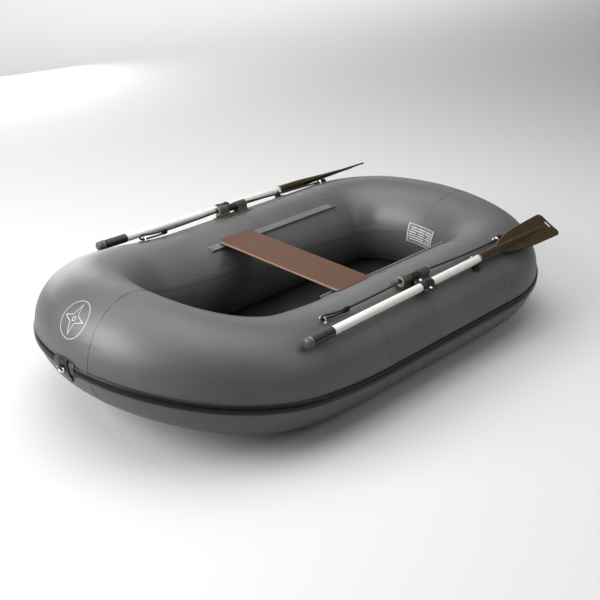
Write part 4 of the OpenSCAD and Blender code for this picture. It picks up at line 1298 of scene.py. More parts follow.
@dataclass(frozen=True)
class Seat:
    """The sliding plywood seat, its channels and screws, and the two rails it runs on."""

    form: HullForm = FORM
    middle_x: float = 0.051
    width: float = 0.174
    thick: float = 0.009
    overhang: float = 0.036
    corner: float = 0.022
    edge: float = 0.0022
    rail_deg: float = 40
    bead_off: float = 0.009
    bead_r: float = 0.0035
    above_bead: float = 0.010
    reach: float = 0.020
    web: float = 0.0015
    clear: float = 0.0022
    face_rings: int = 30
    foot_deg: float = 2.8
    foot_half_deg: float = 4.3
    aft_slant: float = 0.016
    fore_slant: float = 0.022

    @property
    def rail_y(self) -> float:
        """How far to the side each rail's bead lies."""
        return self.form.side_y - (self.form.tube_r + self.bead_off) * math.sin(math.radians(self.rail_deg))

    @property
    def rail_z(self) -> float:
        """Height of each rail's bead."""
        return self.form.tube_r + (self.form.tube_r + self.bead_off) * math.cos(math.radians(self.rail_deg))

    @property
    def low(self) -> float:
        """Height of the board's underside."""
        return self.rail_z + self.above_bead

    def screw_places(self) -> list[Place]:
        """The four screws: at 0.3 of the width fore and aft of the middle, over each rail."""
        return [upright(self.middle_x + i * self.width * 0.3, j * self.rail_y, self.low)
                for i in (-1, 1) for j in (-1, 1)]

    def board(self) -> Shell:
        """The board: a slab whose underside is lifted clear of the tube's curve at its ends.

        The mark is 1 on the sawn edge and 0 on the faces.
        """
        line = rounded_box_line(self.width, 2 * (self.rail_y + self.overhang), self.corner, 14)
        closed = np.append(line, line[:1], 0)
        run = run_along(closed)
        at = np.linspace(0, run[-1], 440, endpoint=False)
        dense = np.column_stack([np.interp(at, run, closed[:, k]) for k in (0, 1)])
        rings = slab(dense, self.thick, self.edge, self.face_rings, 5) + (self.middle_x, 0, self.low)
        tube_r, off = self.form.tube_r, self.form.side_y - np.abs(rings[..., 1])
        tube_z = tube_r + np.sqrt(np.clip((tube_r + self.clear) ** 2 - off ** 2, 0, None))
        lifted = np.minimum(tube_z, self.low + self.thick - 0.0015)
        rings[..., 2] = np.where(rings[..., 2] < tube_z, lifted, rings[..., 2])
        index, faces = np.arange(len(rings)), self.face_rings + 1
        sawn = ((index >= faces) & (index < len(rings) - faces)).astype(float)
        ends = tuple(np.array([self.middle_x, 0, self.low + z]) for z in (0, self.thick))
        return grid(rings, poles=ends, marks=sawn[:, None])

    def screw(self, place: Place) -> Shell:
        """A domed head with a cross recess: the dome less a step where x or y is near its axis."""
        r, turn = np.linspace(0.0003, 0.004, 14)[:, None], circle(48)
        x, y = r * np.cos(turn), r * np.sin(turn)
        z = self.thick - 0.0004 + 0.0005 * (1 - (r / 0.004) ** 2) + 0 * turn
        cross = (np.minimum(np.abs(x), np.abs(y)) < 0.00045) & (np.hypot(x, y) < 0.0024)
        skirt = [np.column_stack([a * on_circle(turn), np.full(48, h)])
                 for a, h in ((0.004, self.thick - 0.0014), (0.002, self.thick - 0.003), (0.002, -0.0035))]
        rows = np.concatenate([np.stack([x, y, z - 0.0009 * cross], -1), skirt])
        return grid(place.at(rows), poles=(place.at((0, 0, self.thick - 0.0008)), place.at((0, 0, -0.0035))))

    def runner(self) -> Shell:
        """The channel under the seat: a section like a C, open towards the rail's web, drawn along X."""
        length, wall = self.width - 2 * self.corner, 0.002
        inner, outer = self.bead_r + 0.0005, self.bead_r + 0.0005 + wall
        down = self.rail_deg - 90
        gap = math.degrees(math.asin((self.web / 2 + 0.0006) / inner))
        turn = np.radians(np.linspace(down + gap, down + 360 - gap, 40))
        top = self.low - self.rail_z - 0.0003
        c, s, out = np.cos(turn), np.sin(turn), on_circle(turn) * outer
        out[:, 1] = np.where(s > 0, np.maximum(out[:, 1], top * np.clip(s, 0, 1) ** 0.5), out[:, 1])
        out[:, 0] = np.where(s > 0.25, np.sign(c) * outer * np.minimum(1, np.abs(c) * 3), out[:, 0])
        section = np.concatenate([out, on_circle(turn)[::-1] * inner])
        x = self.middle_x + np.linspace(-0.5, 0.5, 9) * length
        y, z = self.rail_y + section[:, 0], self.rail_z + section[:, 1]
        ring = np.stack(np.broadcast_arrays(x[:, None], y, z), -1)
        return capped(np.concatenate([ring[:, :40], ring[::-1, 40:][:, ::-1]]).transpose(1, 0, 2))

    def rail(self) -> Shell:
        """A rail: a foot welded to the tube, whose ends are cut on the slant, a web and a round bead."""
        f = self.form
        fore, aft = f.bow_level + self.reach, -f.stern_level - self.reach / 2
        share = np.linspace(-1, 1, 17)
        turn = np.radians(-self.rail_deg + self.foot_deg + self.foot_half_deg * share)
        start, end = aft + self.aft_slant * (1 + share) + 0.002, fore - self.fore_slant * (1 - share)
        line = start + (end - start) * np.linspace(0, 1, 90)[:, None]
        wave = 0.0004 * np.sin(line * 60) * (1 - share ** 2)
        rim = 0.0013 * ease((1 - np.abs(share)) / 0.12)
        faces = [np.stack([line, f.side_y + rho * np.sin(turn), f.tube_r + rho * np.cos(turn)], -1)
                 for rho in (f.tube_r + LAY + rim + 0.0002 + wave, f.tube_r + LAY - 0.0002 + 0 * wave)]
        lean = math.radians(-self.rail_deg)
        normal = np.array([0, math.sin(lean), math.cos(lean)])
        side = np.array([0, math.cos(lean), -math.sin(lean)])

        def along(first: float, last: float, rows: int, out: float) -> Array:
            """A line along the boat, that far out from the tube's middle."""
            middle = np.array([0, f.side_y, f.tube_r]) + normal * out
            return middle + np.linspace(first, last, rows)[:, None] * (1, 0, 0)

        height = np.linspace(0, self.bead_off, 8)
        half = np.where(height > self.bead_off - self.bead_r, self.web, self.web / 2) * 0.55
        half = half + 0.0008 * (height < 0.001)
        web = rings_on(along(aft + 0.004, fore - 0.012, 60, f.tube_r + LAY), side, normal,
                       np.concatenate([half, -half[::-1]]), np.concatenate([height, height[::-1]]))
        turn = circle(20)
        bead = rings_on(along(aft, fore - 0.008, 90, f.tube_r + self.bead_off), side, normal,
                        self.bead_r * np.sin(turn), self.bead_r * np.cos(turn))
        tips = (bead[0].mean(0) - (0.001, 0, 0), bead[-1].mean(0) + (0.001, 0, 0))
        return join(capped(folded(*faces), (0.008, 0.003)), capped(web, (0.012, 0.002)),
                    grid(bead, poles=tips, cell=(0.008, 0.001)))

    def build(self) -> None:
        """Board, screws, channels and rails."""
        piece("seat_plank", self.board(), PLYWOOD, "seat", ("seat_board",), 50)
        piece("seat_screw_heads", join(*(self.screw(p) for p in self.screw_places())), STEEL,
              "seat", ("seat_screws",))
        put_pairs(Part("seat_channel", self.runner(), BLACK, "black_plastic", ("seat_runner",), "seat"),
                  Part("seat_rail_fabric", self.rail(), RAIL, "patch_fabric", ("seat_rail",)))


@dataclass(frozen=True)
class Rowlock:
    """A rowlock: glued sole with two lugs, hollow axle, hub with its arm, and the oar's collar."""

    form: HullForm = FORM
    x: float = -0.084
    deg: float = 17.3
    bore_h: float = 0.0284
    lug_r: float = 0.018
    lug_l: float = 0.050
    gap: float = 0.050
    axle_r: float = 0.013
    axle_wall: float = 0.0025
    sole_l: float = 0.194
    sole_w: float = 0.084
    sole_t: float = 0.004
    arm_l: float = 0.061
    collar_l: float = 0.064
    shaft_r: float = 0.016
    collar_wall: float = 0.004
    flange_t: float = 0.006
    oar_yaw: float = 1.0
    oar_pitch: float = 0.8

    @property
    def foot(self) -> Place:
        """The place on the tube."""
        return self.form.surface(self.x, self.deg)

    @property
    def bore(self) -> Place:
        """The axle's middle, X along it."""
        return self.foot.moved(0, 0, self.bore_h)

    @property
    def oar(self) -> Place:
        """The oar's own frame at the collar: X forward along the shaft."""
        return self.foot.moved(0, self.arm_l, self.bore_h).turned(2, self.oar_yaw).turned(1, -self.oar_pitch)

    @property
    def bolt_y(self) -> float:
        """Distance of each bolt from the shaft's middle."""
        return self.shaft_r + self.collar_wall + 0.005

    def sole(self) -> Shell:
        """The oval sole, crowned, with a raised rim, bent over the tube."""
        turn = circle(88)
        flat, c = (self.sole_l - self.sole_w) / 2, np.cos(turn)
        line = self.sole_w / 2 * on_circle(turn)
        line[:, 0] += np.sign(c) * flat * np.minimum(1, np.abs(c) * 4)
        rings = slab(line, self.sole_t * 0.55, 0.0011, 16, 4, self.sole_t * 0.7)
        scale = np.hypot(rings[..., 0] / (self.sole_l / 2), rings[..., 1] / (self.sole_w / 2))
        top = np.arange(len(rings))[:, None] > len(rings) // 2
        rings[..., 2] += top * 0.0007 * np.exp(-((scale - 0.9) / 0.045) ** 2)
        return capped(self.foot.at(self.form.wrapped(rings, LAY)), (0.003, 0.003))

    def lug(self, end: int) -> Shell:
        """A lug: round above the bore and flaring into the sole below, with the bore through it.

        Its outline is the larger of a circle and, below, a rounded square, by direction; it grows
        near the sole. The rims of both faces are rounded by drawing the outline in.
        """
        turn = circle(72)
        s, c = np.sin(turn), np.cos(turn)
        w, h, p = self.lug_r * 1.02, self.bore_h - 0.003, 7
        square = 1 / ((np.abs(s) / w) ** p + (np.abs(c) / h) ** p) ** (1 / p)
        outline = np.where(c < 0, np.maximum(self.lug_r, square), self.lug_r)
        outline = outline + 0.012 * ease((-c * outline - 0.012) / 0.016) * np.abs(s)
        x0, x1 = sorted((end * self.gap / 2, end * (self.gap / 2 + self.lug_l)))
        edge = 0.003
        rim = [(edge * (1 - math.cos(a)), edge * (1 - math.sin(a))) for a in np.linspace(0, math.pi / 2, 6)]
        outer = [(x0 + x, d) for x, d in rim] + [(x, 0.0) for x in np.linspace(x0 + edge, x1 - edge, 16)][1:-1]
        outer += [(x1 - x, d) for x, d in rim[::-1]]
        bore = self.axle_r + 0.0001
        radii = [(x, outline - d) for x, d in outer] + [(x, bore + 0 * turn) for x in (x1, x0)]
        rows = np.stack([np.column_stack([np.full(72, x), r * s, r * c]) for x, r in radii])
        return grid(self.bore.at(rows), wrap_u=True, cell=(0.003, 0.003))

    def axle(self) -> Shell:
        """The hollow axle with a rounded collar at each end."""
        half, r = self.gap / 2 + self.lug_l, self.axle_r
        rim = [(half - 0.001, r), (half + 0.0001, r + 0.0006), (half + 0.0002, r + 0.0050),
               (half + 0.0008, r + 0.0056), (half + 0.0020, r + 0.0054), (half + 0.0027, r + 0.0048),
               (half + 0.0027, r + 0.0034), (half + 0.0014, r + 0.0026), (half + 0.0005, r - 0.0012),
               (half - 0.002, r - self.axle_wall)]
        return lathe(self.bore, rim + [(-x, y) for x, y in rim[::-1]], 48, closed=True)

    def hub(self) -> Shell:
        """The hub: a barrel with a grip ring at each end, the arm, and the collar's lower half."""
        half, r = self.gap / 2 - 0.0003, self.lug_r - 0.001
        line = [(half - 0.007, r - 0.0012), (half - 0.006, r), (half - 0.001, r), (half, r - 0.001),
                (half, self.axle_r + 0.0002)]
        barrel = lathe(self.bore, [(-x, y) for x, y in line[::-1]] + line, 56, closed=True)
        length = self.arm_l - self.shaft_r / 2
        arm = block(self.bore.moved(0, length / 2 + 0.007, -0.014), 0.036, length - 0.014, 0.013, 0.0028)
        ribs = [block(self.bore.moved(k, length / 2 + 0.006, -0.0165), 0.0045, length - 0.016, 0.0185, 0.0012)
                for k in (-0.0145, 0.0145)]
        return join(barrel, arm, *ribs, self.collar(-1))

    def collar(self, up: int) -> Shell:
        """Half a collar: a half ring with rounded rims and a flange with a lug for each bolt.

        Args:
            up: 1 for the cap, -1 for the half below.
        Returns:
            The shell.
        """
        place, half = self.oar, self.collar_l / 2
        turn = np.linspace(0.03, math.pi - 0.03, 33)[:, None] * up
        line = sleeve(-half, half, self.shaft_r + self.collar_wall, self.shaft_r + 0.0002, 0.0022, 5)
        ring = np.stack([line[:, 0] + 0 * turn, np.cos(turn) * line[:, 1], np.sin(turn) * line[:, 1]], -1)
        z = 0.0005 if up > 0 else -self.flange_t
        lugs = [block(place.moved(0, j * (self.bolt_y - 0.0005), z), self.collar_l, 0.0165,
                      self.flange_t - 0.0005, 0.0018) for j in (-1, 1)]
        bosses = [lathe(place.moved(0, j * self.bolt_y, 0.003 * up).turned(1, -90 * up),
                        fillet(0, self.flange_t - 0.0028, 0.0085, 0.001), 28) for j in (-1, 1)]
        rib_z = (self.shaft_r + 0.0025) * up - (0.003 if up < 0 else 0)
        ribs = [block(place.moved(k, 0, rib_z), 0.005, 0.014, 0.003, 0.0011) for k in (-0.02, 0.02)]
        return join(capped(place.at(ring)), *lugs, *bosses, *ribs)

    def bolts(self) -> Shell:
        """Two bolts: domed heads over washers, shanks, and a six-sided nut on the outboard one."""
        shells, t = [], self.flange_t
        head = [(t + x, r) for x, r in ((0.0001, 0), (0.0001, 0.007), (0.0009, 0.0072), (0.001, 0.006),
                                        (0.0022, 0.0058), (0.0034, 0.0048), (0.0042, 0.003), (0.0043, 0.0018),
                                        (0.0026, 0.0016), (0.0025, 0))]
        for j in (-1, 1):
            at = self.oar.moved(0, j * self.bolt_y, 0).turned(1, -90)
            shells += [lathe(at, head, 32), lathe(at, fillet(-t - 0.005, t, 0.003, 0.0006), 20)]
        nut = lathe(at, fillet(-t - 0.004, -t - 0.0002, 0.006, 0.0007, 3), 6)
        return join(*shells, nut)

    def build(self) -> None:
        """Both rowlocks."""
        put_pairs(Part("rowlock_sole", join(self.sole(), self.lug(-1), self.lug(1)), OLIVE, "olive_plastic",
                       ("rowlock_base",)),
                  Part("rowlock_tube", self.axle(), AXLE, "axle_plastic", ("rowlock_axle",)),
                  Part("rowlock_arm", self.hub(), BLACK, "black_plastic", ("rowlock_hub",), "oar"),
                  Part("collar_top", self.collar(1), COLLAR, "olive_plastic", ("collar_cap",), "oar"),
                  Part("collar_fixings", self.bolts(), STEEL, "bright_steel", ("collar_bolts",), "oar"))


LOCK = Rowlock()


@dataclass(frozen=True)
class Oar:
    """An oar: enamelled tube, rubber grip with a grey end, and a ribbed blade with its socket."""

    lock: Rowlock = LOCK
    length: float = 1.5
    fore: float = 0.642
    cap: float = 0.026
    grip: float = 0.135
    socket: float = 0.980
    blade: float = 1.110
    shaft_end: float = 1.040
    wall: float = 0.0015
    blade_w: float = 0.126
    blade_t: float = 0.005
    roll: float = 11

    @property
    def place(self) -> Place:
        """The grip's end, X aft along the oar."""
        return self.lock.oar.moved(self.fore, 0, 0).turned(2, 180)

    def shaft(self) -> Shell:
        """The tube, with its wall and rounded rims."""
        r = self.lock.shaft_r
        line = sleeve(self.cap * 0.5, self.shaft_end, r, r - self.wall, 0.0005, 3)
        return lathe(self.place, line, 40, closed=True)

    def handle(self) -> Shell:
        """The grip: a sleeve with shallow ring grooves and a thicker rim at its end."""
        r = self.lock.shaft_r
        lead = self.cap + 0.0024
        x = np.linspace(lead + 0.009, self.grip - 0.003, 220)
        groove = 0.00045 * np.clip(np.cos((x - self.cap) * 2 * math.pi / 0.0055) * 2 - 0.6, 0, 1)
        rim = [(lead + x, r + y) for x, y in ((0, 0.0001), (0.0001, 0.0022), (0.0012, 0.0030), (0.0045, 0.0030),
                                              (0.006, 0.0024), (0.0068, 0.002))]
        tail = [(self.grip - 0.001, r + 0.0016), (self.grip, r + 0.0008), (self.grip, r + 0.0001)]
        return lathe(self.place, rim + list(zip(x, r + 0.002 - groove)) + tail, 40, closed=True)

    def end(self) -> Shell:
        """The grey end: a plug with a softly domed face and a moulded ring."""
        r, cap, half = self.lock.shaft_r, self.cap, self.cap * 0.5
        line = [(0, 0), (0.0001, 0.006), (0.0006, 0.011), (0.0018, 0.0152), (0.004, 0.0176), (0.008, 0.0186),
                (0.016, 0.0188), (0.017, 0.0182), (0.0185, 0.0182), (0.0195, 0.0188), (cap - 0.0004, 0.0188),
                (cap, 0.0178), (cap, r + 0.0001), (half, r + 0.0001), (half - 0.0005, 0.01), (half - 0.0005, 0)]
        return lathe(self.place, line, 40)

    def ring(self, start: float, end: float, rise: float) -> Shell:
        """A thin ring round the shaft, from one place along it to another."""
        r = self.lock.shaft_r
        return lathe(self.place, sleeve(start, end, r + rise, r + 0.0001, 0.001), 40, closed=True)

    def spoon(self) -> Shell:
        """The blade: a closed skin, its thickness a height over the outline.

        Across the blade a point's place is the half width times cos, so points gather at the edges.
        The height is half the sheet's thickness, rounded at the edge, plus a spine that tapers to
        the tip, less two side grooves that spread, each a bell across its line and eased in at its ends.
        """
        u = np.concatenate([np.linspace(self.blade - 0.022, self.length - 0.02, 90),
                            self.length - 0.02 + 0.02 * np.sin(np.linspace(0.02, math.pi / 2 * 0.985, 16))])
        knots = np.concatenate([self.blade + np.array([-0.022, 0, 0.03, 0.075, 0.13, 0.22]),
                                self.length + np.array([-0.02, 0.001])])
        half = np.interp(u, knots, [0.0165, 0.0195, 0.0262, 0.0395, 0.0505, 0.0572, 0.0628, 0.0632])
        half = np.convolve(np.pad(half, 4, mode="edge"), np.ones(9) / 9, "valid")
        corner = 0.020
        tip = np.clip((u - (self.length - corner)) / corner, 0, 0.9999)
        half = half - corner * (1 - np.sqrt(1 - tip ** 2)) * 0.98
        phi = circle(128)
        y = half[:, None] * np.cos(phi)
        face = np.sign(np.sin(phi)) * np.ones_like(y)
        inset = half[:, None] - np.abs(y)
        sheet = self.blade_t / 2 * np.sqrt(ease(inset / 0.0035)) * (1 - 0.25 * ease(inset / 0.02) + 0.15)
        share = ((u - self.blade) / (self.length - self.blade))[:, None]
        held = np.clip(share, 0, 1)
        spine = (0.0165 - 0.0145 * held ** 0.8) * np.exp(-(np.abs(y) / (0.0125 - 0.0075 * held)) ** 4)
        spine = spine * ease((0.97 - share) / 0.2)
        reach = ease((share - 0.16) / 0.12) * ease((0.90 - share) / 0.08)
        grooves = -0.0019 * np.exp(-((np.abs(y) - 0.0145 - 0.024 * held) / 0.0021) ** 4) * reach
        rim = 0.0010 * np.exp(-((inset - 0.004) / 0.0028) ** 2) * ease((share - 0.1) / 0.1)
        height = np.maximum(sheet, np.where(inset > 0.0005, spine, 0) + sheet * 0.6)
        z = face * (height + (grooves + rim) * (inset > 0.002))
        z = np.where(np.abs(np.sin(phi)) < 1e-9, 0, z)
        points = np.stack([u[:, None] + 0 * y, y, z], -1)
        at = self.place.turned(0, self.roll)
        ends = (at.at((u[0] - 0.001, 0, 0)), at.at((self.length, 0, 0)))
        body = grid(at.at(points), poles=ends, cell=(0.004, 0.002))
        r = self.lock.shaft_r
        start, end, mouth = self.socket, self.blade, self.shaft_end + 0.001
        neck = [(start, r + 0.0002), (start, r + 0.0022), (start + 0.0012, r + 0.003),
                (start + 0.010, r + 0.003), (start + 0.0115, r + 0.0024), (end - 0.03, r + 0.0026),
                (end, r + 0.0018), (end + 0.02, r - 0.002), (end + 0.03, r - 0.006), (end + 0.03, 0.004),
                (mouth, 0.004), (mouth, r + 0.0002)]
        return join(body, lathe(self.place, neck, 48, closed=True))

    def tip_mark(self) -> Shell:
        """A small plain plate across the upper face, near the tip."""
        rings = slab(rounded_box_line(0.009, 0.030, 0.0035, 6), 0.0009, 0.0003, 4, 3)
        rows = self.place.turned(0, self.roll).at(rings + (self.length - 0.021, 0, self.blade_t / 2 + 0.0004))
        return capped(rows)

    def build(self) -> None:
        """Both oars."""
        socket = self.ring(self.socket - 0.007, self.socket - 0.0001, 0.0022)
        grip = self.ring(self.cap + 0.0001, self.cap + 0.0023, 0.0034)
        put_pairs(Part("oar_tube", self.shaft(), PAINT, "shaft_paint", ("oar_shaft",), "oar"),
                  Part("oar_handle", self.handle(), GRIP, "grip_rubber", ("oar_grip",), "oar"),
                  Part("oar_end_plug", self.end(), GREY, "grey_plastic", ("oar_end_cap",), "oar"),
                  Part("oar_spoon", self.spoon(), BLADE, "blade_plastic", ("oar_blade",), "oar"),
                  Part("oar_tip_mark", self.tip_mark(), TRANSFER, "label_film", (), "oar"),
                  Part("oar_socket_ring", socket, AXLE, "grey_plastic", (), "oar"),
                  Part("oar_grip_ring", grip, AXLE, "grey_plastic", (), "oar"))


@dataclass(frozen=True)
class Cradle:
    """The clip that holds a stowed oar: a foot on the tube and two springy lips round the shaft."""

    lock: Rowlock = LOCK
    x: float = -0.408
    width: float = 0.026
    clear: float = 0.0007
    thick: float = 0.0042
    foot_l: float = 0.044
    foot_w: float = 0.056

    def build(self) -> None:
        """Both clips, each with its foot and a steel stud on its inboard lip."""
        form, lock = self.lock.form, self.lock
        foot = form.surface(self.x, lock.deg)
        off = lock.oar.moved(self.x - lock.x, 0, 0).origin - foot.origin
        y, z = float(off @ foot.axes[1]), float(off @ foot.axes[2])
        place = Place(foot.at((0, y, z)), foot.axes)
        r = lock.shaft_r + self.clear + self.thick / 2
        line = r * on_circle(np.radians(np.linspace(-13, -167, 37)))
        lips = line[[0, -1]] + ((0.0005, 0.003), (-0.0005, 0.003))
        path = np.pad(np.concatenate([lips[:1], line, lips[1:]]), ((0, 0), (1, 0)))
        clip = capped(place.at(band(path, (1, 0, 0), self.width, self.thick, 24, (0.3, 0.45))))
        rings = slab(rounded_box_line(self.foot_l, self.foot_w, 0.014, 10), 0.0025, 0.0009, 8, 4, 0.0012)
        base = capped(foot.at(form.wrapped(rings + (0, y, 0), LAY)))
        drop = form.tube_r - math.sqrt(form.tube_r ** 2 - y ** 2)
        height = z - lock.shaft_r - 0.003 + drop
        stem = block(foot.moved(0, y, -drop + 0.001), self.width * 0.82, 0.019, height, 0.002)
        ribs = [block(foot.moved(0, y + k, -drop + 0.0015), self.width * 0.6, 0.004, height * 0.72, 0.0015)
                for k in (-0.0125, 0.0125)]
        toe = block(place.moved(0, lock.shaft_r + 0.002, -0.021), self.width * 0.9, 0.011, 0.014, 0.003)
        stud_at = place.moved(0, -(lock.shaft_r + self.clear + self.thick) + 0.001, -0.007).turned(2, -90)
        stud = lathe(stud_at, [(0, 0), (0.0, 0.0055), (0.0024, 0.0055), (0.0028, 0.0078), (0.0046, 0.0082),
                               (0.0062, 0.0062), (0.0070, 0.0026), (0.0071, 0)], 28)
        put_pairs(Part("oar_clip", join(clip, base, stem, toe, *ribs), BLACK, "black_plastic", ("oar_cradle",)),
                  Part("oar_clip_stud", stud, STEEL, "bright_steel"))


@dataclass(frozen=True)
class GrabLine:
    """A grab line of braided cord, its seizing, its stopper knot and the two pad eyes that hold it."""

    form: HullForm = FORM
    cord_d: float = 0.008
    eye_fore_x: float = 0.388
    eye_aft_x: float = -0.618
    eye_deg: float = 17.3
    pad_r: float = 0.024
    bow_r: float = 0.010
    rod_r: float = 0.0025
    pad_t: float = 0.003
    clear: float = 0.0003
    strands: int = 4
    lay_length: float = 0.024
    whipping_x: tuple[float, float] = (0.268, 0.290)
    whipping_turns: int = 9
    whipping_at: tuple[float, float] = (0.5025, 0.4093)
    whipping_r: tuple[float, float] = (0.0052, 0.0098)
    whipping_cord_r: float = 0.0013
    knot_cord_r: float = 0.0036
    knot_at: Colour = (-0.6515, 0.4926, 0.4012)
    knot_size: float = 0.0042
    route: tuple[tuple[int, int, int], ...] = (
        (266, 503, 405), (290, 502, 404), (320, 501, 404), (350, 500, 406), (374, 498, 408), (388, 497, 410),
        (398, 498, 412), (403, 500, 416), (403, 502, 421), (398, 503, 425), (387, 503, 426), (372, 503, 423),
        (350, 503, 419), (320, 503, 416), (290, 503, 414), (260, 503, 413), (200, 503, 413), (140, 503, 414),
        (80, 503, 415), (30, 503, 417), (-10, 503, 418), (-84, 503, 418), (-160, 503, 418), (-200, 503, 417),
        (-260, 503, 413), (-330, 502, 409), (-400, 501, 405), (-470, 500, 403), (-540, 498, 401),
        (-595, 496, 400), (-624, 495, 400), (-645, 493, 400))

    def braid(self, path: Array, radius: float, around: int = 20) -> Shell:
        """Braided cord along a path.

        Two sets of helical strands cross: the height at an angle and a length is the larger of two
        cosines, one turning with the length and one against it. The mark keeps that height.
        """
        turn = circle(around)
        twist = 2 * math.pi * run_along(path)[:, None] / self.lay_length
        crest = np.maximum(*(np.abs(np.cos(self.strands * (turn + k * twist) / 2)) for k in (1, -1)))
        shell = rod(path, radius, around, waves=-0.13 * (1 - crest))
        return replace(shell, marks=np.concatenate([crest.ravel(), [0.5, 0.5]]))

    def eye(self, x: float) -> tuple[Shell, Shell]:
        """A pad eye at a place along the boat: its glued pad and its steel bow with two feet."""
        place = self.form.surface(x, self.eye_deg).moved(0, 0, self.clear)
        rings = slab(self.pad_r * on_circle(circle(56)), self.pad_t * 0.62, 0.0009, 9, 4, self.pad_t * 0.42)
        mid = self.bow_r + self.rod_r
        angle = np.linspace(0, math.pi, 29)
        arch = np.column_stack([mid * np.cos(angle), self.pad_t + mid * np.sin(angle)])
        leg = np.array([(mid, self.pad_t - 0.002), (mid, self.pad_t - 0.001)])
        path = np.pad(np.concatenate([leg, arch, leg[::-1] * (-1, 1)]), ((0, 0), (1, 0)))
        bow = rod(place.at(path), self.rod_r, 14, across=tuple(place.axes[0]), caps=0.2)
        foot = fillet(0, 0.0022, 0.0062, 0.0009)
        feet = [lathe(place.moved(0, k * mid, self.pad_t * 0.72).turned(1, -90), foot, 26) for k in (-1, 1)]
        return capped(place.at(self.form.wrapped(rings, LAY))), join(bow, *feet)

    def seizing(self) -> Shell:
        """Whipping round both parts of the line: one thin cord wound as a flat helix."""
        t = np.linspace(0, 1, self.whipping_turns * 26)
        phi, (x0, x1) = t * self.whipping_turns * 2 * math.pi, self.whipping_x
        path = np.column_stack([x0 + (x1 - x0) * t, self.whipping_at + self.whipping_r * on_circle(phi)])
        return rod(path, self.whipping_cord_r, 8, across=(1, 0, 0))

    def stopper(self) -> Shell:
        """An overhand knot as a closed three-lobed curve, small and tight, behind the aft eye."""
        t, size = circle(160), self.knot_size
        lobes = np.column_stack([0.9 * np.sin(3 * t), 0.85 * (np.sin(t) + 2 * np.sin(2 * t)),
                                 0.85 * (np.cos(t) - 2 * np.cos(2 * t))]) * size
        along = heading(lobes, closed=True)
        side = unit(lobes - np.einsum("ij,ij->i", lobes, along)[:, None] * along)
        phi, r = circle(14), self.knot_cord_r
        return grid(rings_on(lobes + np.array(self.knot_at), side, np.cross(along, side), r * np.cos(phi),
                             r * np.sin(phi)), wrap_u=True)

    def build(self) -> None:
        """Cords, seizings, knots and eyes on both sides."""
        path = spline(np.array(self.route, float) / 1000, 0.0011)
        log.info("grab line: %.3f m", run_along(path)[-1])
        eyes = []
        for end, x in (("fore", self.eye_fore_x), ("aft", self.eye_aft_x)):
            pad, bow = self.eye(x)
            eyes += [Part(f"eye_{end}_pad", pad, EYE, "eye_pad", (f"eye_{end}",)),
                     Part(f"eye_{end}_bow", bow, STEEL, "bright_steel")]
        cord = self.braid(path, self.cord_d / 2)
        put_pairs(Part("grab_cord", cord, CORD, "rope_cord", ("grab_line",), crease=80),
                  Part("grab_cord_whipping", self.seizing(), CORD, "rope_cord"),
                  Part("grab_cord_knot", self.stopper(), CORD, "rope_cord"), *eyes)


@dataclass(frozen=True)
class Valve:
    """A screw valve in the inner wall: a welded flange, a neck and a cap with a grip bar."""

    form: HullForm = FORM
    deg: float = -80
    flange_r: float = 0.030
    cap_r: float = 0.021
    places: tuple[tuple[str, float], ...] = (("fore", 0.020), ("aft", -0.230))

    def build(self) -> None:
        """The fore and the aft valve."""
        neck, bore, flange, r = self.cap_r - 0.001, self.cap_r - 0.006, self.flange_r, self.cap_r
        seat = [(-0.018, bore), (-0.018, neck), (0.0002, neck), (0.0006, neck + 0.001), (0.0007, flange),
                (0.0014, flange + 0.0002), (0.0022, flange - 0.001), (0.003, flange - 0.005),
                (0.0036, r + 0.003), (0.004, r + 0.001), (0.004, neck - 0.002), (0.002, bore), (0.0, bore)]
        top = [(-0.006, 0), (-0.006, bore - 0.001), (-0.005, bore - 0.0004), (0.0042, bore - 0.0004),
               (0.0043, r - 0.001), (0.005, r), (0.0098, r), (0.0108, r - 0.0008), (0.0113, r - 0.003),
               (0.0112, r - 0.006), (0.0106, r - 0.008), (0.0106, 0)]
        knurl = np.zeros((len(top) - 2, 144))
        knurl[4:6] = -0.0007 * (np.cos(36 * circle(144)) < 0)
        for name, x in self.places:
            wall = self.form.surface(x, self.deg)
            at = wall.turned(1, -90)
            bar = block(wall.moved(0, 0, 0.0103), r * 1.6, 0.006, 0.0055, 0.0018)
            piece(f"valve_seat_{name}", lathe(at, seat, 72, closed=True), VALVE,
                  replaces=(f"valve_body_{name}",))
            cap = join(lathe(at, top, 144, waves=knurl), bar)
            piece(f"valve_top_{name}", cap, BLACK_RUBBER, f"{name}_valve_cap",
                  (f"valve_cap_{name}",))


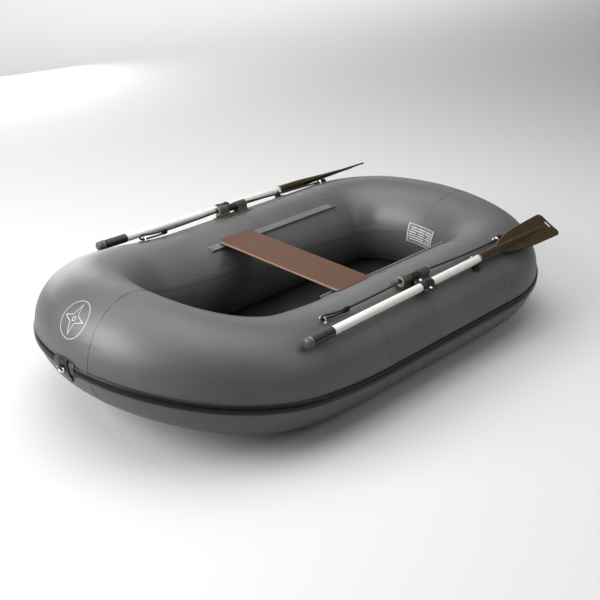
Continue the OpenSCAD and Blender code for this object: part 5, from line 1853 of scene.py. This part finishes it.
@dataclass(frozen=True)
class Studio:
    """Pale floor, soft boxes and the camera."""

    azimuth: float = 134.78
    elevation: float = 26.06
    distance: float = 4.0567
    lens: float = 60.2
    target: Colour = (0.001, 0.001, 0.176)
    floor_r: float = 40.0
    floor_z: float = -0.002

    def build(self) -> None:
        """Floor, lights, surroundings and camera."""
        mesh = bpy.data.meshes.new("studio_floor")
        r, low = self.floor_r, self.floor_z
        mesh.from_pydata([(-r, -r, low), (r, -r, low), (r, r, low), (-r, r, low)], [], [(0, 1, 2, 3)])
        mesh.materials.append(StudioPaper().build())
        stand("studio_floor", mesh)
        for name, place, aim, size, watts in (("overhead", (0.2, -0.3, 3.6), (0.2, -0.3, 0), (4.5, 4.5), 225),
                                              ("backdrop", (-6, -8, 2.6), (-6, -8, 0), (10, 8), 560),
                                              ("key", (4.4, -1.45, 2.9), (0.3, 0, 0.35), (3.6, 3.0), 440),
                                              ("left", (-0.9, -5.0, 0.5), (0, 0, 0.3), (2.6, 0.8), 50),
                                              ("port", (-1.8, 3.6, 3.0), (0, 0.4, 0.35), (1.8, 1.5), 40)):
            self.soft_box(name, place, aim, size, watts)
        world = bpy.data.worlds.new("surroundings")
        world.use_nodes = True
        background = world.node_tree.nodes["Background"]
        background.inputs[0].default_value = (1, 1, 1, 1)
        background.inputs[1].default_value = 0.30
        bpy.context.scene.world = world
        bpy.context.scene.view_settings.view_transform = "Standard"
        self.camera()

    def soft_box(self, name: str, place: Colour, aim: Colour, size: tuple[float, float], watts: float) -> None:
        """A rectangular soft box that faces the point it is aimed at."""
        light = bpy.data.lights.new(name, "AREA")
        light.shape, light.size, light.size_y, light.energy = "RECTANGLE", size[0], size[1], watts
        obj = stand(name, light)
        obj.location = place
        obj.rotation_euler = (Vector(aim) - Vector(place)).to_track_quat("-Z", "Y").to_euler()

    def camera(self) -> None:
        """The camera, from its azimuth, elevation and distance about the target."""
        az, el = math.radians(self.azimuth), math.radians(self.elevation)
        back = Vector((math.sin(az) * math.cos(el), -math.cos(az) * math.cos(el), math.sin(el)))
        data = bpy.data.cameras.new("camera")
        data.lens, data.sensor_width, data.clip_end = self.lens, 36.0, 200.0
        obj = stand("camera", data)
        obj.location = Vector(self.target) + back * self.distance
        obj.rotation_euler = (-back).to_track_quat("-Z", "Y").to_euler()
        bpy.context.scene.camera = obj


def main() -> None:
    """Builds the studio and the boat's sub-assemblies in order."""
    logging.basicConfig(level=logging.INFO, format="%(name)s: %(message)s", stream=sys.stdout)
    Studio().build()
    for assembly in (TubeRing(), Floor(), RubbingStrake(), TowFitting(), Markings(), Seat(), LOCK, Oar(),
                     Cradle(), GrabLine(), Valve()):
        log.info("building %s", type(assembly).__name__)
        assembly.build()


if __name__ == "__main__":
    main()
